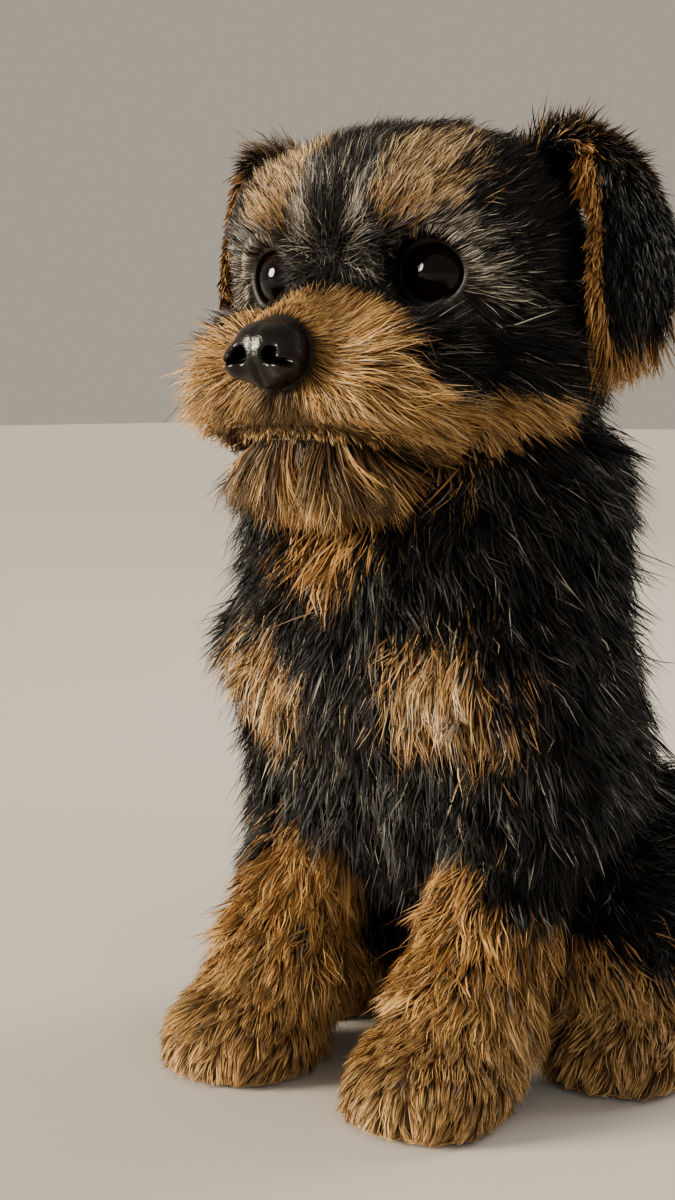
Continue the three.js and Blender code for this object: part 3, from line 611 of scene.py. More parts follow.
def hair_colour(p, tan_share, m, clump_pick, own_pick):
    """Root and tip colour of each lock. Light and dark hairs mix at the edges of the markings."""
    tan, cream, silver, sable_and_shade, gold = markings(p, tan_share, m)
    n = len(p)
    pick = 0.5 + 0.32 * (clump_pick - 0.5) + 0.42 * (rng.random(n) - 0.5) + 0.12 * patchy2(p)
    loose = 0.5 + 0.55 * (clump_pick - 0.5) + 0.75 * (rng.random(n) - 0.5) + 0.14 * patchy2(p + 9)
    tip = np.tile(BLACK * 1.7, (n, 1)) * rng.uniform(0.7, 1.5, (n, 1))
    root = np.tile(BLACK, (n, 1))
    grey = rng.random(n) < 0.03
    tip[grey] = np.array([0.06, 0.050, 0.040])
    shade = (0.55 * own_pick + 0.45 * clump_pick)[:, None]
    tan_tip = BROWN + (TAN - BROWN) * np.clip(shade * 2.4, 0, 1)
    tan_tip = tan_tip + (GOLD - tan_tip) * np.clip(shade * 2.3 - 0.85, 0, 1)
    sandy = (step(34, 12, p[:, 2]) * (1 - m))[:, None]  # the feet are paler
    tan_tip = tan_tip + ((0.55 * GOLD + 0.5 * STRAW) * (0.45 + 1.15 * shade) - tan_tip) * 0.65 * sandy
    fair = (rng.random(n) < 0.30) & (m > 0.5)
    tan_tip[fair] = tan_tip[fair] * 0.35 + STRAW * 0.75
    # painted shade in the gaps between the toes: the paws' hair is darkened midway between the toes' lines, low on the
    # foot
    near_toe = np.full(n, 9.0)
    for c in TOES:
        near_toe = np.where(np.abs(p[:, 1] - c[1]) < 9.5, np.minimum(near_toe, np.abs(np.abs(p[:, 0]) - c[0])), near_toe)
    toe_gap_shade = (step(1.1, 2.0, near_toe) * step(4.5, 2.6, near_toe) * step(13, 9, p[:, 2]) * (1 - m))[:, None]
    tan_tip = tan_tip * (1 - 0.72 * toe_gap_shade)
    tan_root = BROWN * 0.55 + (TAN * 0.62 - BROWN * 0.55) * shade
    is_tan = tan > pick
    tip[is_tan], root[is_tan] = tan_tip[is_tan], tan_root[is_tan]
    dark_end = is_tan & (rng.random(n) < 0.09)
    tip[dark_end] = tip[dark_end] * 0.35
    is_cream = cream > loose
    creamy = TAN + (CREAM - TAN) * np.clip(shade * 1.9 - 0.2, 0, 1)
    tip[is_cream], root[is_cream] = creamy[is_cream], (BROWN * 0.9)[None]
    some_black = is_cream & (rng.random(n) < 0.30)
    tip[some_black] = SABLE
    is_gold = gold > loose
    golden = TAN * 0.75 + ((0.7 * STRAW + 0.5 * CREAM) - TAN * 0.75) * np.clip(shade * 2.1 - 0.35, 0, 1)
    hb = to_head(p)
    warm = np.exp(-(((np.abs(hb[:, 0]) - 15) / 7) ** 2 + ((hb[:, 2] - 10) / 6) ** 2))[:, None]  # the brow is richest over the eye
    golden = golden + (TAN * 0.95 - golden) * np.clip(warm * 0.9, 0, 0.85)
    tip[is_gold], root[is_gold] = golden[is_gold], (BROWN * 0.6)[None]
    some_black = is_gold & (rng.random(n) < 0.30)
    tip[some_black] = BLACK * 2
    is_silver = silver > loose
    silvery = SILVER * (0.16 + 2.0 * shade ** 1.5)
    tip[is_silver], root[is_silver] = silvery[is_silver], (SABLE * 0.8)[None]
    # dark hairs for sable fur, and painted shade along the line of the mouth
    darkened_by_sable_and_shade = sable_and_shade > pick * 1.1
    tip[darkened_by_sable_and_shade] = tip[darkened_by_sable_and_shade] * 0.22 + SABLE * 0.5
    root[darkened_by_sable_and_shade] = root[darkened_by_sable_and_shade] * 0.3
    return root, tip


# ---------------------------------------------------------------- skin
def split_quads(v, q):
    d0 = np.linalg.norm(v[q[:, 0]] - v[q[:, 2]], axis=1)
    d1 = np.linalg.norm(v[q[:, 1]] - v[q[:, 3]], axis=1)
    a = np.where((d0 <= d1)[:, None], q[:, [0, 1, 2]], q[:, [1, 2, 3]])
    b = np.where((d0 <= d1)[:, None], q[:, [0, 2, 3]], q[:, [1, 3, 0]])
    return np.concatenate([a, b])


def refine(v, t, wanted):
    """Each edge that touches a wanted triangle is split at its middle, and its triangles with it."""
    hot = wanted(v[t].mean(1))
    edges = np.sort(np.concatenate([t[:, [0, 1]], t[:, [1, 2]], t[:, [2, 0]]]), axis=1)
    key = edges[:, 0].astype(np.int64) * (len(v) + 1) + edges[:, 1]
    uniq, inverse = np.unique(key, return_inverse=True)
    inverse = inverse.reshape(3, -1).T
    split = np.zeros(len(uniq), bool)
    split[inverse[hot].ravel()] = True
    new = np.full(len(uniq), -1)
    new[split] = len(v) + np.arange(split.sum())
    pairs = np.stack([uniq // (len(v) + 1), uniq % (len(v) + 1)], 1)[split]
    v = np.concatenate([v, v[pairs].mean(1)])
    mid = new[inverse]
    has = mid >= 0
    out = [t[has.sum(1) == 0]]
    full = has.sum(1) == 3
    a, b, c = t[full].T
    x, y, z = mid[full].T
    out += [np.stack(f, 1) for f in ((a, x, z), (x, b, y), (z, y, c), (x, y, z))]
    for i in range(3):
        one = (has.sum(1) == 1) & has[:, i]
        a, b, c = t[one][:, i], t[one][:, (i + 1) % 3], t[one][:, (i + 2) % 3]
        k = mid[one][:, i]
        out += [np.stack((a, k, c), 1), np.stack((k, b, c), 1)]
        two = (has.sum(1) == 2) & ~has[:, i]
        a, b, c = t[two][:, i], t[two][:, (i + 1) % 3], t[two][:, (i + 2) % 3]
        k, l = mid[two][:, (i + 1) % 3], mid[two][:, (i + 2) % 3]
        out += [np.stack((k, c, l), 1), np.stack((a, b, k), 1), np.stack((a, k, l), 1)]
    return v, np.concatenate(out)


def near_face(p):
    h = to_head(p)
    eye = np.minimum(*[np.linalg.norm(h - [s * 18.5, -1, 0], axis=1) for s in (-1, 1)]) < 11
    mouth = (np.abs(mouth_line(h)) < 5) & (h[:, 1] < 8) & (h[:, 1] > -40)
    nose = np.linalg.norm(h - [0, -27, -16], axis=1) < 13
    return eye | mouth | nose


def near_eye(p):
    h = to_head(p)
    return np.minimum(*[np.linalg.norm(h - [s * 18.5, -1, 0], axis=1) for s in (-1, 1)]) < 9.5


CELL = 1.85
floor_skin = lambda p: smooth_max(skin_detail(p), 0.5 - p[:, 2], 0.6)
v, q = surface(floor_skin, (-62, -90, -4), (62, 80, 204), CELL)
t = split_quads(v, q)
for wanted in (near_face, near_face, near_eye):
    v, t = refine(v, t, wanted)
    v = to_surface(skin_detail, v, 0.5) if wanted is near_eye else to_surface(floor_skin, v, 0.5)
for _ in range(3):
    hot = near_face(v)
    v[hot] = to_surface(floor_skin, v[hot], 0.3)
skin_v, skin_t = v, t

# ---------------------------------------------------------------- ears
EAR_FRONT = [[23, 24, 14], [31, 22, 24], [38.5, 20, 25], [43, 18, 13], [44.5, 15.5, -4], [45.5, 19, -21]]
EAR_REAR = [[21, 42, 9], [29, 47, 18], [38, 48.5, 18.5], [46, 46.5, 10], [49, 43.5, -3], [48.5, 39, -15]]


def spline(points, at):
    """Centripetal Catmull-Rom curve."""
    P = np.array(points, float)
    n = len(P)
    out = []
    for t in np.atleast_1d(at):
        g = (n - 1) * float(t)
        i = min(int(math.floor(g)), n - 2)
        w = g - i
        p1, p2 = P[i], P[i + 1]
        p0 = P[i - 1] if i > 0 else 2 * P[0] - P[1]
        p3 = P[i + 2] if i + 2 < n else 2 * P[n - 1] - P[n - 2]
        d0, d1, d2 = (max(1e-4, np.linalg.norm(b - a) ** 0.5) for a, b in ((p0, p1), (p1, p2), (p2, p3)))
        t1 = ((p1 - p0) / d0 - (p2 - p0) / (d0 + d1) + (p2 - p1) / d1) * d1
        t2 = ((p2 - p1) / d1 - (p3 - p1) / (d1 + d2) + (p3 - p2) / d2) * d1
        out.append(p1 + t1 * w + (-3 * p1 + 3 * p2 - 2 * t1 - t2) * w ** 2 + (2 * p1 - 2 * p2 + t1 + t2) * w ** 3)
    return np.array(out)


EAR_ROWS, EAR_ACROSS = 44, 24


def ear_middle(side, u, v):
    """Point of the ear's middle sheet, u from root to tip, v from front to rear edge, set in by the coat's depth."""
    uu = 0.02 + 0.93 * u
    a, b = spline(EAR_FRONT, uu), spline(EAR_REAR, uu)
    trim = 0.055
    vv = trim + (1 - 2 * trim) * v
    # the tip is rounded
    round_off = np.clip((u - 0.72) / 0.28, 0, 1) ** 2
    vv = vv + (0.44 - vv) * 0.30 * round_off
    p = a + (b - a) * vv[:, None]
    p[:, 0] += 3.2 * np.sin(math.pi * uu) * 4 * vv * (1 - vv)
    p[:, 0] *= side
    return p


def ear_mesh(side):
    U, V = np.meshgrid(np.linspace(0, 1, EAR_ROWS + 1), np.linspace(0, 1, EAR_ACROSS + 1), indexing="ij")
    u, v = U.ravel(), V.ravel()
    e = 0.004
    du = ear_middle(side, np.minimum(1, u + e), v) - ear_middle(side, np.maximum(0, u - e), v)
    dv = ear_middle(side, u, np.minimum(1, v + e)) - ear_middle(side, u, np.maximum(0, v - e))
    n = unit(np.cross(du, dv)) * side
    rim = np.sqrt(np.maximum(0, 4 * v * (1 - v))) * np.sqrt(np.maximum(0, 1 - np.clip((u - 0.8) / 0.2, 0, 1) ** 4))
    half = 0.34 + 0.55 * rim + 0.5 * (1 - u)
    mid = ear_middle(side, u, v)
    ripple = 0.35 * np.sin(9 * v + 5 * u) * u
    mid = mid + n * ripple[:, None]
    outer, inner = mid + n * half[:, None], mid - n * half[:, None]
    w = EAR_ACROSS + 1
    N = len(u)
    idx = np.arange(N).reshape(EAR_ROWS + 1, w)
    a, b, c, d = idx[:-1, :-1].ravel(), idx[1:, :-1].ravel(), idx[1:, 1:].ravel(), idx[:-1, 1:].ravel()
    quads = [np.stack([a, b, c, d], 1), np.stack([a, d, c, b], 1) + N]
    for line in (idx[:, 0], idx[:, -1][::-1], idx[0][::-1], idx[-1]):
        p, r = line[:-1], line[1:]
        quads.append(np.stack([p, p + N, r + N, r], 1))
    q = np.concatenate(quads)
    if side < 0:
        q = q[:, ::-1]
    pts = from_head(np.concatenate([outer, inner]))
    t = split_quads(pts, q)
    # faces point outwards when the volume is positive
    tri = pts[t]
    if np.einsum("ij,ij->i", tri[:, 0], np.cross(tri[:, 1], tri[:, 2])).sum() < 0:
        t = t[:, ::-1]
    uv = np.stack([np.tile(u, 2), np.tile(v, 2)], 1)
    face = np.repeat([1.0, -1.0], N)
    flow = unit(np.tile(du, (2, 1))) @ HEAD_R.T
    spread = unit(np.tile(dv, (2, 1))) @ HEAD_R.T
    normal = np.concatenate([n, -n]) @ HEAD_R.T
    return pts, t, uv, face, flow, spread, normal


ears = {side: ear_mesh(side) for side in (1, -1)}


def ear_tan(uv, face, pts):
    """Tan rim at the leading edge and the fringe, tan inside, black outside."""
    u, v = uv.T
    rim = np.maximum(step(0.10, 0.02, v), step(0.88, 1.0, u) * 0.9)
    rim = np.maximum(rim, step(0.93, 1.0, v) * step(0.5, 0.8, u) * 0.6) * step(0.30, 0.48, u)
    return np.where(face > 0, rim, 0.85 * step(0.25, 0.5, u))


_, coat_depth, _, _, tan_share, head_share = field(skin_v, True)
rgb = skin_colour(skin_v, tan_share, head_share)
h = to_head(skin_v)
for s in (-1, 1):
    rim = np.exp(-(np.maximum(0, np.linalg.norm(h - [s * EYE_AT[0], EYE_AT[1], EYE_AT[2]], axis=1) - LID_R) / 1.6) ** 2) * np.where(h[:, 1] < 6, 1, 0)
    rgb = rgb + (np.array([0.013, 0.011, 0.010]) - rgb) * np.clip(rim, 0, 1)[:, None]
seat = np.linalg.norm((h - NOSE_AT) / (NOSE_R + 1.4), axis=1)
rgb = rgb + (BLACK * 0.9 - rgb) * step(1.25, 1.0, seat)[:, None]
all_v, all_t, all_c = [skin_v], [skin_t], [rgb]
count = len(skin_v)
for side, (pts, tt, uv, face, *_rest) in ears.items():
    share = ear_tan(uv, face, pts)[:, None]
    all_v.append(pts)
    all_t.append(tt + count)
    all_c.append(BLACK + (BROWN * 1.1 - BLACK) * share)
    count += len(pts)
skin = mesh_object("skin", np.concatenate(all_v), np.concatenate(all_t))
colour(skin, np.concatenate(all_c))
skin.data.materials.append(SKIN)
FLESH = [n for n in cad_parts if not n.startswith("eye") and n != "nose"]
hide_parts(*FLESH)
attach(skin, "root")
print("skin triangles", len(skin.data.polygons))


# ---------------------------------------------------------------- eyes
def eye(side):
    rings, around = 40, 64
    th = np.linspace(0, math.pi, rings + 1)
    ph = np.linspace(0, 2 * math.pi, around, endpoint=False)
    g = unit(np.array([side * GAZE[0], GAZE[1], GAZE[2] + 0.02]))
    a = unit(np.cross([0, 0, 1.0], g))
    b = np.cross(g, a)
    v, c = [], []
    for i, x in enumerate(th):
        r = EYE_R + 0.35 * math.exp(-(x / 0.80) ** 2 * 1.2)  # the cornea stands proud
        reach = EYE_R * math.sin(x)
        for y in (ph if 0 < i < rings else ph[:1]):
            v.append(EYE_AT * [side, 1, 1] + r * (math.cos(x) * g + math.sin(x) * (math.cos(y) * a + math.sin(y) * b)))
            rays = 0.8 + 0.35 * math.sin(23 * y) * math.sin(7 * y + 1)
            if x > math.pi / 2 or reach > 6.1:
                col = np.array([0.014, 0.009, 0.006])
            elif reach > 5.6:
                col = np.array([0.009, 0.006, 0.004])
            elif reach > 2.6:
                col = np.array([0.0135, 0.0070, 0.0038]) * rays * (0.7 + 0.5 * (reach - 2.6) / 3)
            else:
                col = np.array([0.0035, 0.0038, 0.0045])
            c.append(col)
    f = []
    first = lambda i: 1 + (i - 1) * around
    last = len(v) - 1
    for j in range(around):
        k = (j + 1) % around
        f.append((0, first(1) + j, first(1) + k))
        f.append((last, first(rings - 1) + k, first(rings - 1) + j))
        for i in range(1, rings - 1):
            p, r = first(i), first(i + 1)
            f.append((p + j, r + j, r + k))
            f.append((p + j, r + k, p + k))
    f = np.array(f)
    v = from_head(np.array(v))
    centre = v.mean(0)
    tri = v[f] - centre
    if np.einsum("ij,ij->i", tri[:, 0], np.cross(tri[:, 1], tri[:, 2])).sum() < 0:
        f = f[:, ::-1]
    name = "left" if side > 0 else "right"
    o = mesh_object("eyeball_" + name, v, f)
    colour(o, np.array(c))
    o.data.materials.append(EYE)
    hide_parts("eye_" + name)
    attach(o, "root")


for side in (1, -1):
    eye(side)


# ---------------------------------------------------------------- nose
def nose_field(p):
    h = p  # in the head's frame
    q = h - NOSE_AT
    a = q / NOSE_R
    k0 = np.linalg.norm(a, axis=1)
    d = k0 * (k0 - 1) / np.maximum(np.linalg.norm(q / NOSE_R ** 2, axis=1), 1e-6)
    X = np.abs(q[:, 0])
    # the wings of the nostrils, and a flatter top
    wing = np.stack([(X - 5.2) / 3.4, (q[:, 1] + 2.2) / 4.4, (q[:, 2] + 1.6) / 3.6], 1)
    w0 = np.linalg.norm(wing, axis=1)
    wd = w0 * (w0 - 1) / np.maximum(np.linalg.norm(wing / [3.4, 4.4, 3.6], axis=1), 1e-6)
    d = smooth_min(d, wd, 1.5)
    d = smooth_max(d, q[:, 2] - 6.2 - 0.25 * q[:, 1], 1.8)
    # nostril: round in front, with a slit that runs out to the side
    hole = np.sqrt(((X - 3.5) / 1.75) ** 2 + ((q[:, 2] + 0.4) / 1.6) ** 2) - 1
    slit = np.sqrt((np.maximum(0, np.abs(X - 5.4) - 1.4) / 1.2) ** 2 + ((q[:, 2] + 1.5 + 0.18 * (X - 5)) / 0.62) ** 2) - 1
    depth = np.clip((-0.5 - q[:, 1]) / 1.5, 0, 1)
    d = smooth_max(d, np.where(q[:, 1] < 1, -smooth_min(hole, slit, 0.35) * 1.3, -5) * depth + (1 - depth) * -5, 0.45)
    # philtrum
    d = d + 0.75 * np.exp(-(X / 0.45) ** 2) * np.clip((-1.2 - q[:, 2]) / 2, 0, 1) * np.clip((-2 - q[:, 1]) / 2, 0, 1)
    d = d + 0.25 * np.exp(-(X / 0.9) ** 2) * np.clip((-2 - q[:, 1]) / 2, 0, 1)
    return d


lo, hi = NOSE_AT - NOSE_R - 3, NOSE_AT + NOSE_R + 3
v, q = surface(nose_field, lo, hi, 0.55, 3)
nose = mesh_object("nose_skin", from_head(v), split_quads(v, q))
nose.data.materials.append(NOSE)
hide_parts("nose")
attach(nose, "root")


# ---------------------------------------------------------------- claws
def claws():
    vs, fs, n = [], [], 0
    for s in (1, -1):
        for c in TOES:
            base = np.array([s * c[0], c[1] - TOE_R * 1.25, c[2] + 0.2])
            ring, along = 8, 7
            for i in range(along):
                w = i / (along - 1)
                centre = base + np.array([0, -6.4 * w, 0.5 * math.sin(w * 2.6) - 3.3 * w * w])
                r = 0.95 * (1 - w) ** 0.8 + 0.05
                for j in range(ring):
                    y = 2 * math.pi * j / ring
                    vs.append(centre + [0.75 * r * math.cos(y), 0.25 * r * math.sin(y), r * math.sin(y)])
            for i in range(along - 1):
                for j in range(ring):
                    k = (j + 1) % ring
                    a, b = n + i * ring, n + (i + 1) * ring
                    fs += [(a + j, a + k, b + k), (a + j, b + k, b + j)]
            vs += [base, base + [0, -6.45, -2.9]]
            for j in range(ring):
                k = (j + 1) % ring
                fs.append((n + ring * along, n + k, n + j))
                e = n + (along - 1) * ring
                fs.append((n + ring * along + 1, e + j, e + k))
            n += ring * along + 2
    v = np.array(vs)
    v[:, 2] = np.maximum(v[:, 2], 0.4)
    o = mesh_object("claws", v, np.array(fs))
    o.data.materials.append(CLAW)
    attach(o, "root")


claws()

# ---------------------------------------------------------------- coat
sway, sway2, sway3 = Waves(22), Waves(20), Waves(24)
ruffle = [Waves(7), Waves(7), Waves(7)]


def scatter(v, t, rate):
    """Points over triangles, rate to a square millimetre for each triangle: points, triangle, barycentric."""
    tri = v[t]
    area = np.linalg.norm(np.cross(tri[:, 1] - tri[:, 0], tri[:, 2] - tri[:, 0]), axis=1) / 2
    want = area * rate
    total = int(want.sum())
    edges = np.cumsum(want)
    where = np.searchsorted(edges, (np.arange(total) + rng.random(total)) * (edges[-1] / max(total, 1)))
    where = np.minimum(where, len(t) - 1)
    a, b = rng.random(total), rng.random(total)
    over = a + b > 1
    a[over], b[over] = 1 - a[over], 1 - b[over]
    bary = np.stack([1 - a - b, a, b], 1)
    return np.einsum("ij,ijk->ik", bary, tri[where]), where, bary


ROWS_AT = np.array([0.0, 0.36, 0.70, 1.0])


def curve(root, normal, comb, length, lift0, lift1, droop, bend, wave=0.0):
    """Points of each lock at ROWS_AT: it leaves the skin at angle lift0 and ends at lift1, and sags by droop."""
    n = len(root)
    pts = np.empty((n, 4, 3))
    pts[:, 0] = root
    at = root.copy()
    done = 0.0
    k = 1
    sub = 10
    aside = np.cross(comb, normal)
    turn = rng.uniform(0, 2 * math.pi, n)
    for i in range(sub):
        s = (i + 0.5) / sub
        lift = lift0 + (lift1 - lift0) * s
        d = comb * np.cos(lift)[:, None] + normal * np.sin(lift)[:, None]
        d = d + bend * (s * 1.2) + aside * (wave * np.sin(5.2 * s + turn))[:, None]
        d[:, 2] -= droop * s
        d = unit(d)
        at = at + d * (length / sub)[:, None]
        done = (i + 1) / sub
        while k < 4 and done >= ROWS_AT[k] - 1e-6:
            pts[:, k] = at
            k += 1
    return pts


def gather(pts, members, strength, root_hold=0.25):
    """Pulls each lock towards the nearest of a few leading locks, more towards the tip."""
    lead = np.flatnonzero(members)
    tree = kdtree.KDTree(len(lead))
    for i, j in enumerate(lead):
        tree.insert(pts[j, 0], i)
    tree.balance()
    mine = np.array([lead[tree.find(p)[1]] for p in pts[:, 0]])
    goal = pts[mine]
    offset = (pts[:, :1] - goal[:, :1]) * root_hold
    w = strength[:, None, None] * (ROWS_AT ** 1.25)[None, :, None]
    return pts * (1 - w) + (goal + offset) * w, mine


def over_an_eye(pts):
    """Whether a lock passes before the opening of either eye."""
    over = np.zeros(len(pts), bool)
    walk = [pts[:, 1], pts[:, 2], pts[:, 3], (pts[:, 0] + pts[:, 1]) / 2, (pts[:, 1] + pts[:, 2]) / 2, (pts[:, 2] + pts[:, 3]) / 2]
    for q in walk:
        h = to_head(q)
        for s in (-1, 1):
            v, g = h - EYE_AT * [s, 1, 1], GAZE * [s, 1, 1]
            ahead = v @ g
            beside = np.linalg.norm(v - ahead[:, None] * g, axis=1)
            over |= (ahead > 1) & (beside < 6.7)
    return over


def off_the_eyes(pts):
    for _ in range(3):
        over = over_an_eye(pts)
        pts[over] = pts[over, :1] + (pts[over] - pts[over, :1]) * 0.55
    return pts


def clear_of_skin(pts, least):
    """Moves points out of the body, so that the locks lie over it."""
    n = len(pts)
    for k in (1, 2, 3):
        p = pts[:, k]
        d, _, g, _, _, _ = field(p, True)
        need = least * ROWS_AT[k] - d
        p += g * np.clip(need, 0, 12)[:, None]
        p[:, 2] = np.maximum(p[:, 2], 0.5 + 0.6 * ROWS_AT[k])
        pts[:, k] = p
    return pts


def ribbons(name, pts, normal, width, roll, root_rgb, tip_rgb, uv, mat, profile=(0.75, 1.0, 0.72)):
    """Each lock is a thin leaf of five triangles along its curve, its face to the outside and turned by roll."""
    n = len(pts)
    tangent = np.empty_like(pts)
    tangent[:, 0] = pts[:, 1] - pts[:, 0]
    tangent[:, 1] = pts[:, 2] - pts[:, 0]
    tangent[:, 2] = pts[:, 3] - pts[:, 1]
    tangent[:, 3] = pts[:, 3] - pts[:, 2]
    tangent = unit(tangent)
    side = np.cross(tangent, normal[:, None, :])
    side = unit(side)
    up = np.cross(side, tangent)
    c, s = np.cos(roll)[:, None, None], np.sin(roll)[:, None, None]
    side = side * c + up * s
    verts = np.empty((n, 7, 3))
    for k in range(3):
        half = (0.5 * width * profile[k])[:, None]
        verts[:, 2 * k] = pts[:, k] - side[:, k] * half
        verts[:, 2 * k + 1] = pts[:, k] + side[:, k] * half
    verts[:, 6] = pts[:, 3]
    verts[:, :, 2] = np.maximum(verts[:, :, 2], 0.35)
    base = np.arange(n)[:, None] * 7
    pattern = np.array([0, 1, 3, 0, 3, 2, 2, 3, 5, 2, 5, 4, 4, 5, 6])
    f = (base + pattern).reshape(-1, 3)
    o = mesh_object(name, verts.reshape(-1, 3), f)
    s_of = np.array([0, 0, 0.36, 0.36, 0.70, 0.70, 1.0])
    grade = (s_of ** 0.8)[None, :, None]
    rgb = root_rgb[:, None] * (1 - grade) + tip_rgb[:, None] * grade
    rgb[:, :2] *= 0.55
    colour(o, rgb.reshape(-1, 3))
    layer = o.data.uv_layers.new(name="OFBake")
    across = np.array([-1, 1, -1, 1, -1, 1, 0]) * 0.0013
    patch = np.stack([uv[:, None, 0] + across[None], uv[:, None, 1] + (s_of - 0.5)[None] * 0.003], 2)
    layer.data.foreach_set("uv", patch[:, pattern].astype(np.float32).ravel())
    o.data.materials.append(mat)
    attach(o, "root")
    return len(f)


def unwrap(p, kind):
    """The skin's own shape laid flat: round the head, round the trunk, or round and along a leg."""
    if kind == "head":
        h = to_head(p) - [0, 12, -6]
        r = np.linalg.norm(h, axis=1)
        a = np.arctan2(h[:, 0], -h[:, 1]) / (2 * math.pi) + 0.5
        b = np.arccos(np.clip(h[:, 2] / np.maximum(r, 1e-6), -1, 1)) / math.pi
        return np.stack([a, b], 1)
    if kind == "trunk":
        z = p[:, 2]
        cy = np.interp(z, [20, 44, 72, 104, 150], [14, 5, -10, -19, -20])
        a = np.arctan2(p[:, 0], -(p[:, 1] - cy)) / (2 * math.pi) + 0.5
        return np.stack([a, np.clip(z / 175, 0, 1)], 1)
    s = np.where(p[:, 0] >= 0, 0.25, 0.75)
    z = np.clip(p[:, 2] / 75, 0, 1)
    if kind == "fore":
        cy = np.interp(p[:, 2], [5, 21, 61], [-54, -43, -24])
        a = np.arctan2(np.abs(p[:, 0]) - 25.5, -(p[:, 1] - cy)) / (4 * math.pi)
        return np.stack([s + a, z], 1)
    cy = np.where(p[:, 2] < 14, 5.0, 10.0)
    a = np.arctan2(np.abs(p[:, 0]) - 26, -(p[:, 1] - cy)) / (4 * math.pi)
    return np.stack([s + a, z], 1)


def region_of(p, m):
    """0 face, 1 skull, 2 neck, 3 trunk front, 4 trunk back, 5 forelegs, 6 hind legs, 7 tail"""
    h = to_head(p)
    x, y, z = np.abs(p[:, 0]), p[:, 1], p[:, 2]
    out = np.where(z > 126, 2, np.where(y < -18 + (z - 90) * 0.2, 3, 4))
    fore = (z < 58) & (y < -14 - 0.45 * (55 - z)) | (z < 18) & (y < -26)
    out = np.where(fore, 5, out)
    hind = (z < 50) & (x > 14) & (y > -30) & ~fore
    out = np.where(hind, 6, out)
    out = np.where((y > 36) & (z < 40), 7, out)
    head = (m > 0.5) | (z > 150)
    face = head & (h[:, 1] < 13)
    out = np.where(head, 1, out)
    return np.where(face, 0, out)


tri_mid = skin_v[skin_t].mean(1)
_, coat_mid, grad_mid, _, _, m_mid = field(tri_mid, True)
h_mid = to_head(tri_mid)
region = region_of(tri_mid, m_mid)
bare = np.zeros(len(tri_mid), bool)
for s in (-1, 1):
    c = np.array([s * EYE_AT[0], EYE_AT[1], EYE_AT[2]])
    bare |= np.linalg.norm(h_mid - c, axis=1) < LID_R + 0.35
bare |= np.linalg.norm((h_mid - NOSE_AT) / (NOSE_R + 0.4), axis=1) < 1
bare |= (np.abs(mouth_line(h_mid) - 0.1) < 0.7) & (h_mid[:, 1] < 3)
bare |= tri_mid[:, 2] < 0.8

SCALE = 1.0
#            rate, length factor, lift at root, at tip, width, droop, gather, clump size, wave, unwrap, slot
STYLE = {
    0: ("coat_face", 9.5, 1.85, 50, 14, 0.27, 0.06, 0.50, 10, 0.10, "head", "tan_coat"),
    1: ("coat_skull", 4.7, 1.95, 50, 9, 0.34, 0.05, 0.55, 13, 0.12, "head", "black_coat"),
    2: ("coat_neck", 4.8, 1.90, 52, 14, 0.42, 0.12, 0.62, 16, 0.20, "trunk", "black_coat"),
    3: ("coat_chest", 4.0, 1.95, 52, 14, 0.44, 0.14, 0.64, 16, 0.22, "trunk", "black_coat"),
    4: ("coat_back", 3.1, 1.90, 48, 10, 0.46, 0.12, 0.62, 16, 0.18, "trunk", "black_coat"),
    5: ("coat_forelegs", 3.5, 1.80, 52, 14, 0.40, 0.18, 0.66, 16, 0.22, "fore", "tan_coat"),
    6: ("coat_hindlegs", 2.6, 1.80, 48, 12, 0.44, 0.16, 0.62, 16, 0.20, "hind", "tan_coat"),
    7: ("coat_tail", 3.3, 1.70, 42, 8, 0.42, 0.05, 0.55, 12, 0.12, "hind", "black_coat"),
}
TOE_ENDS = np.array([[s * c[0], c[1] - 8.0, 1.6] for s in (1, -1) for c in TOES])
made = 0
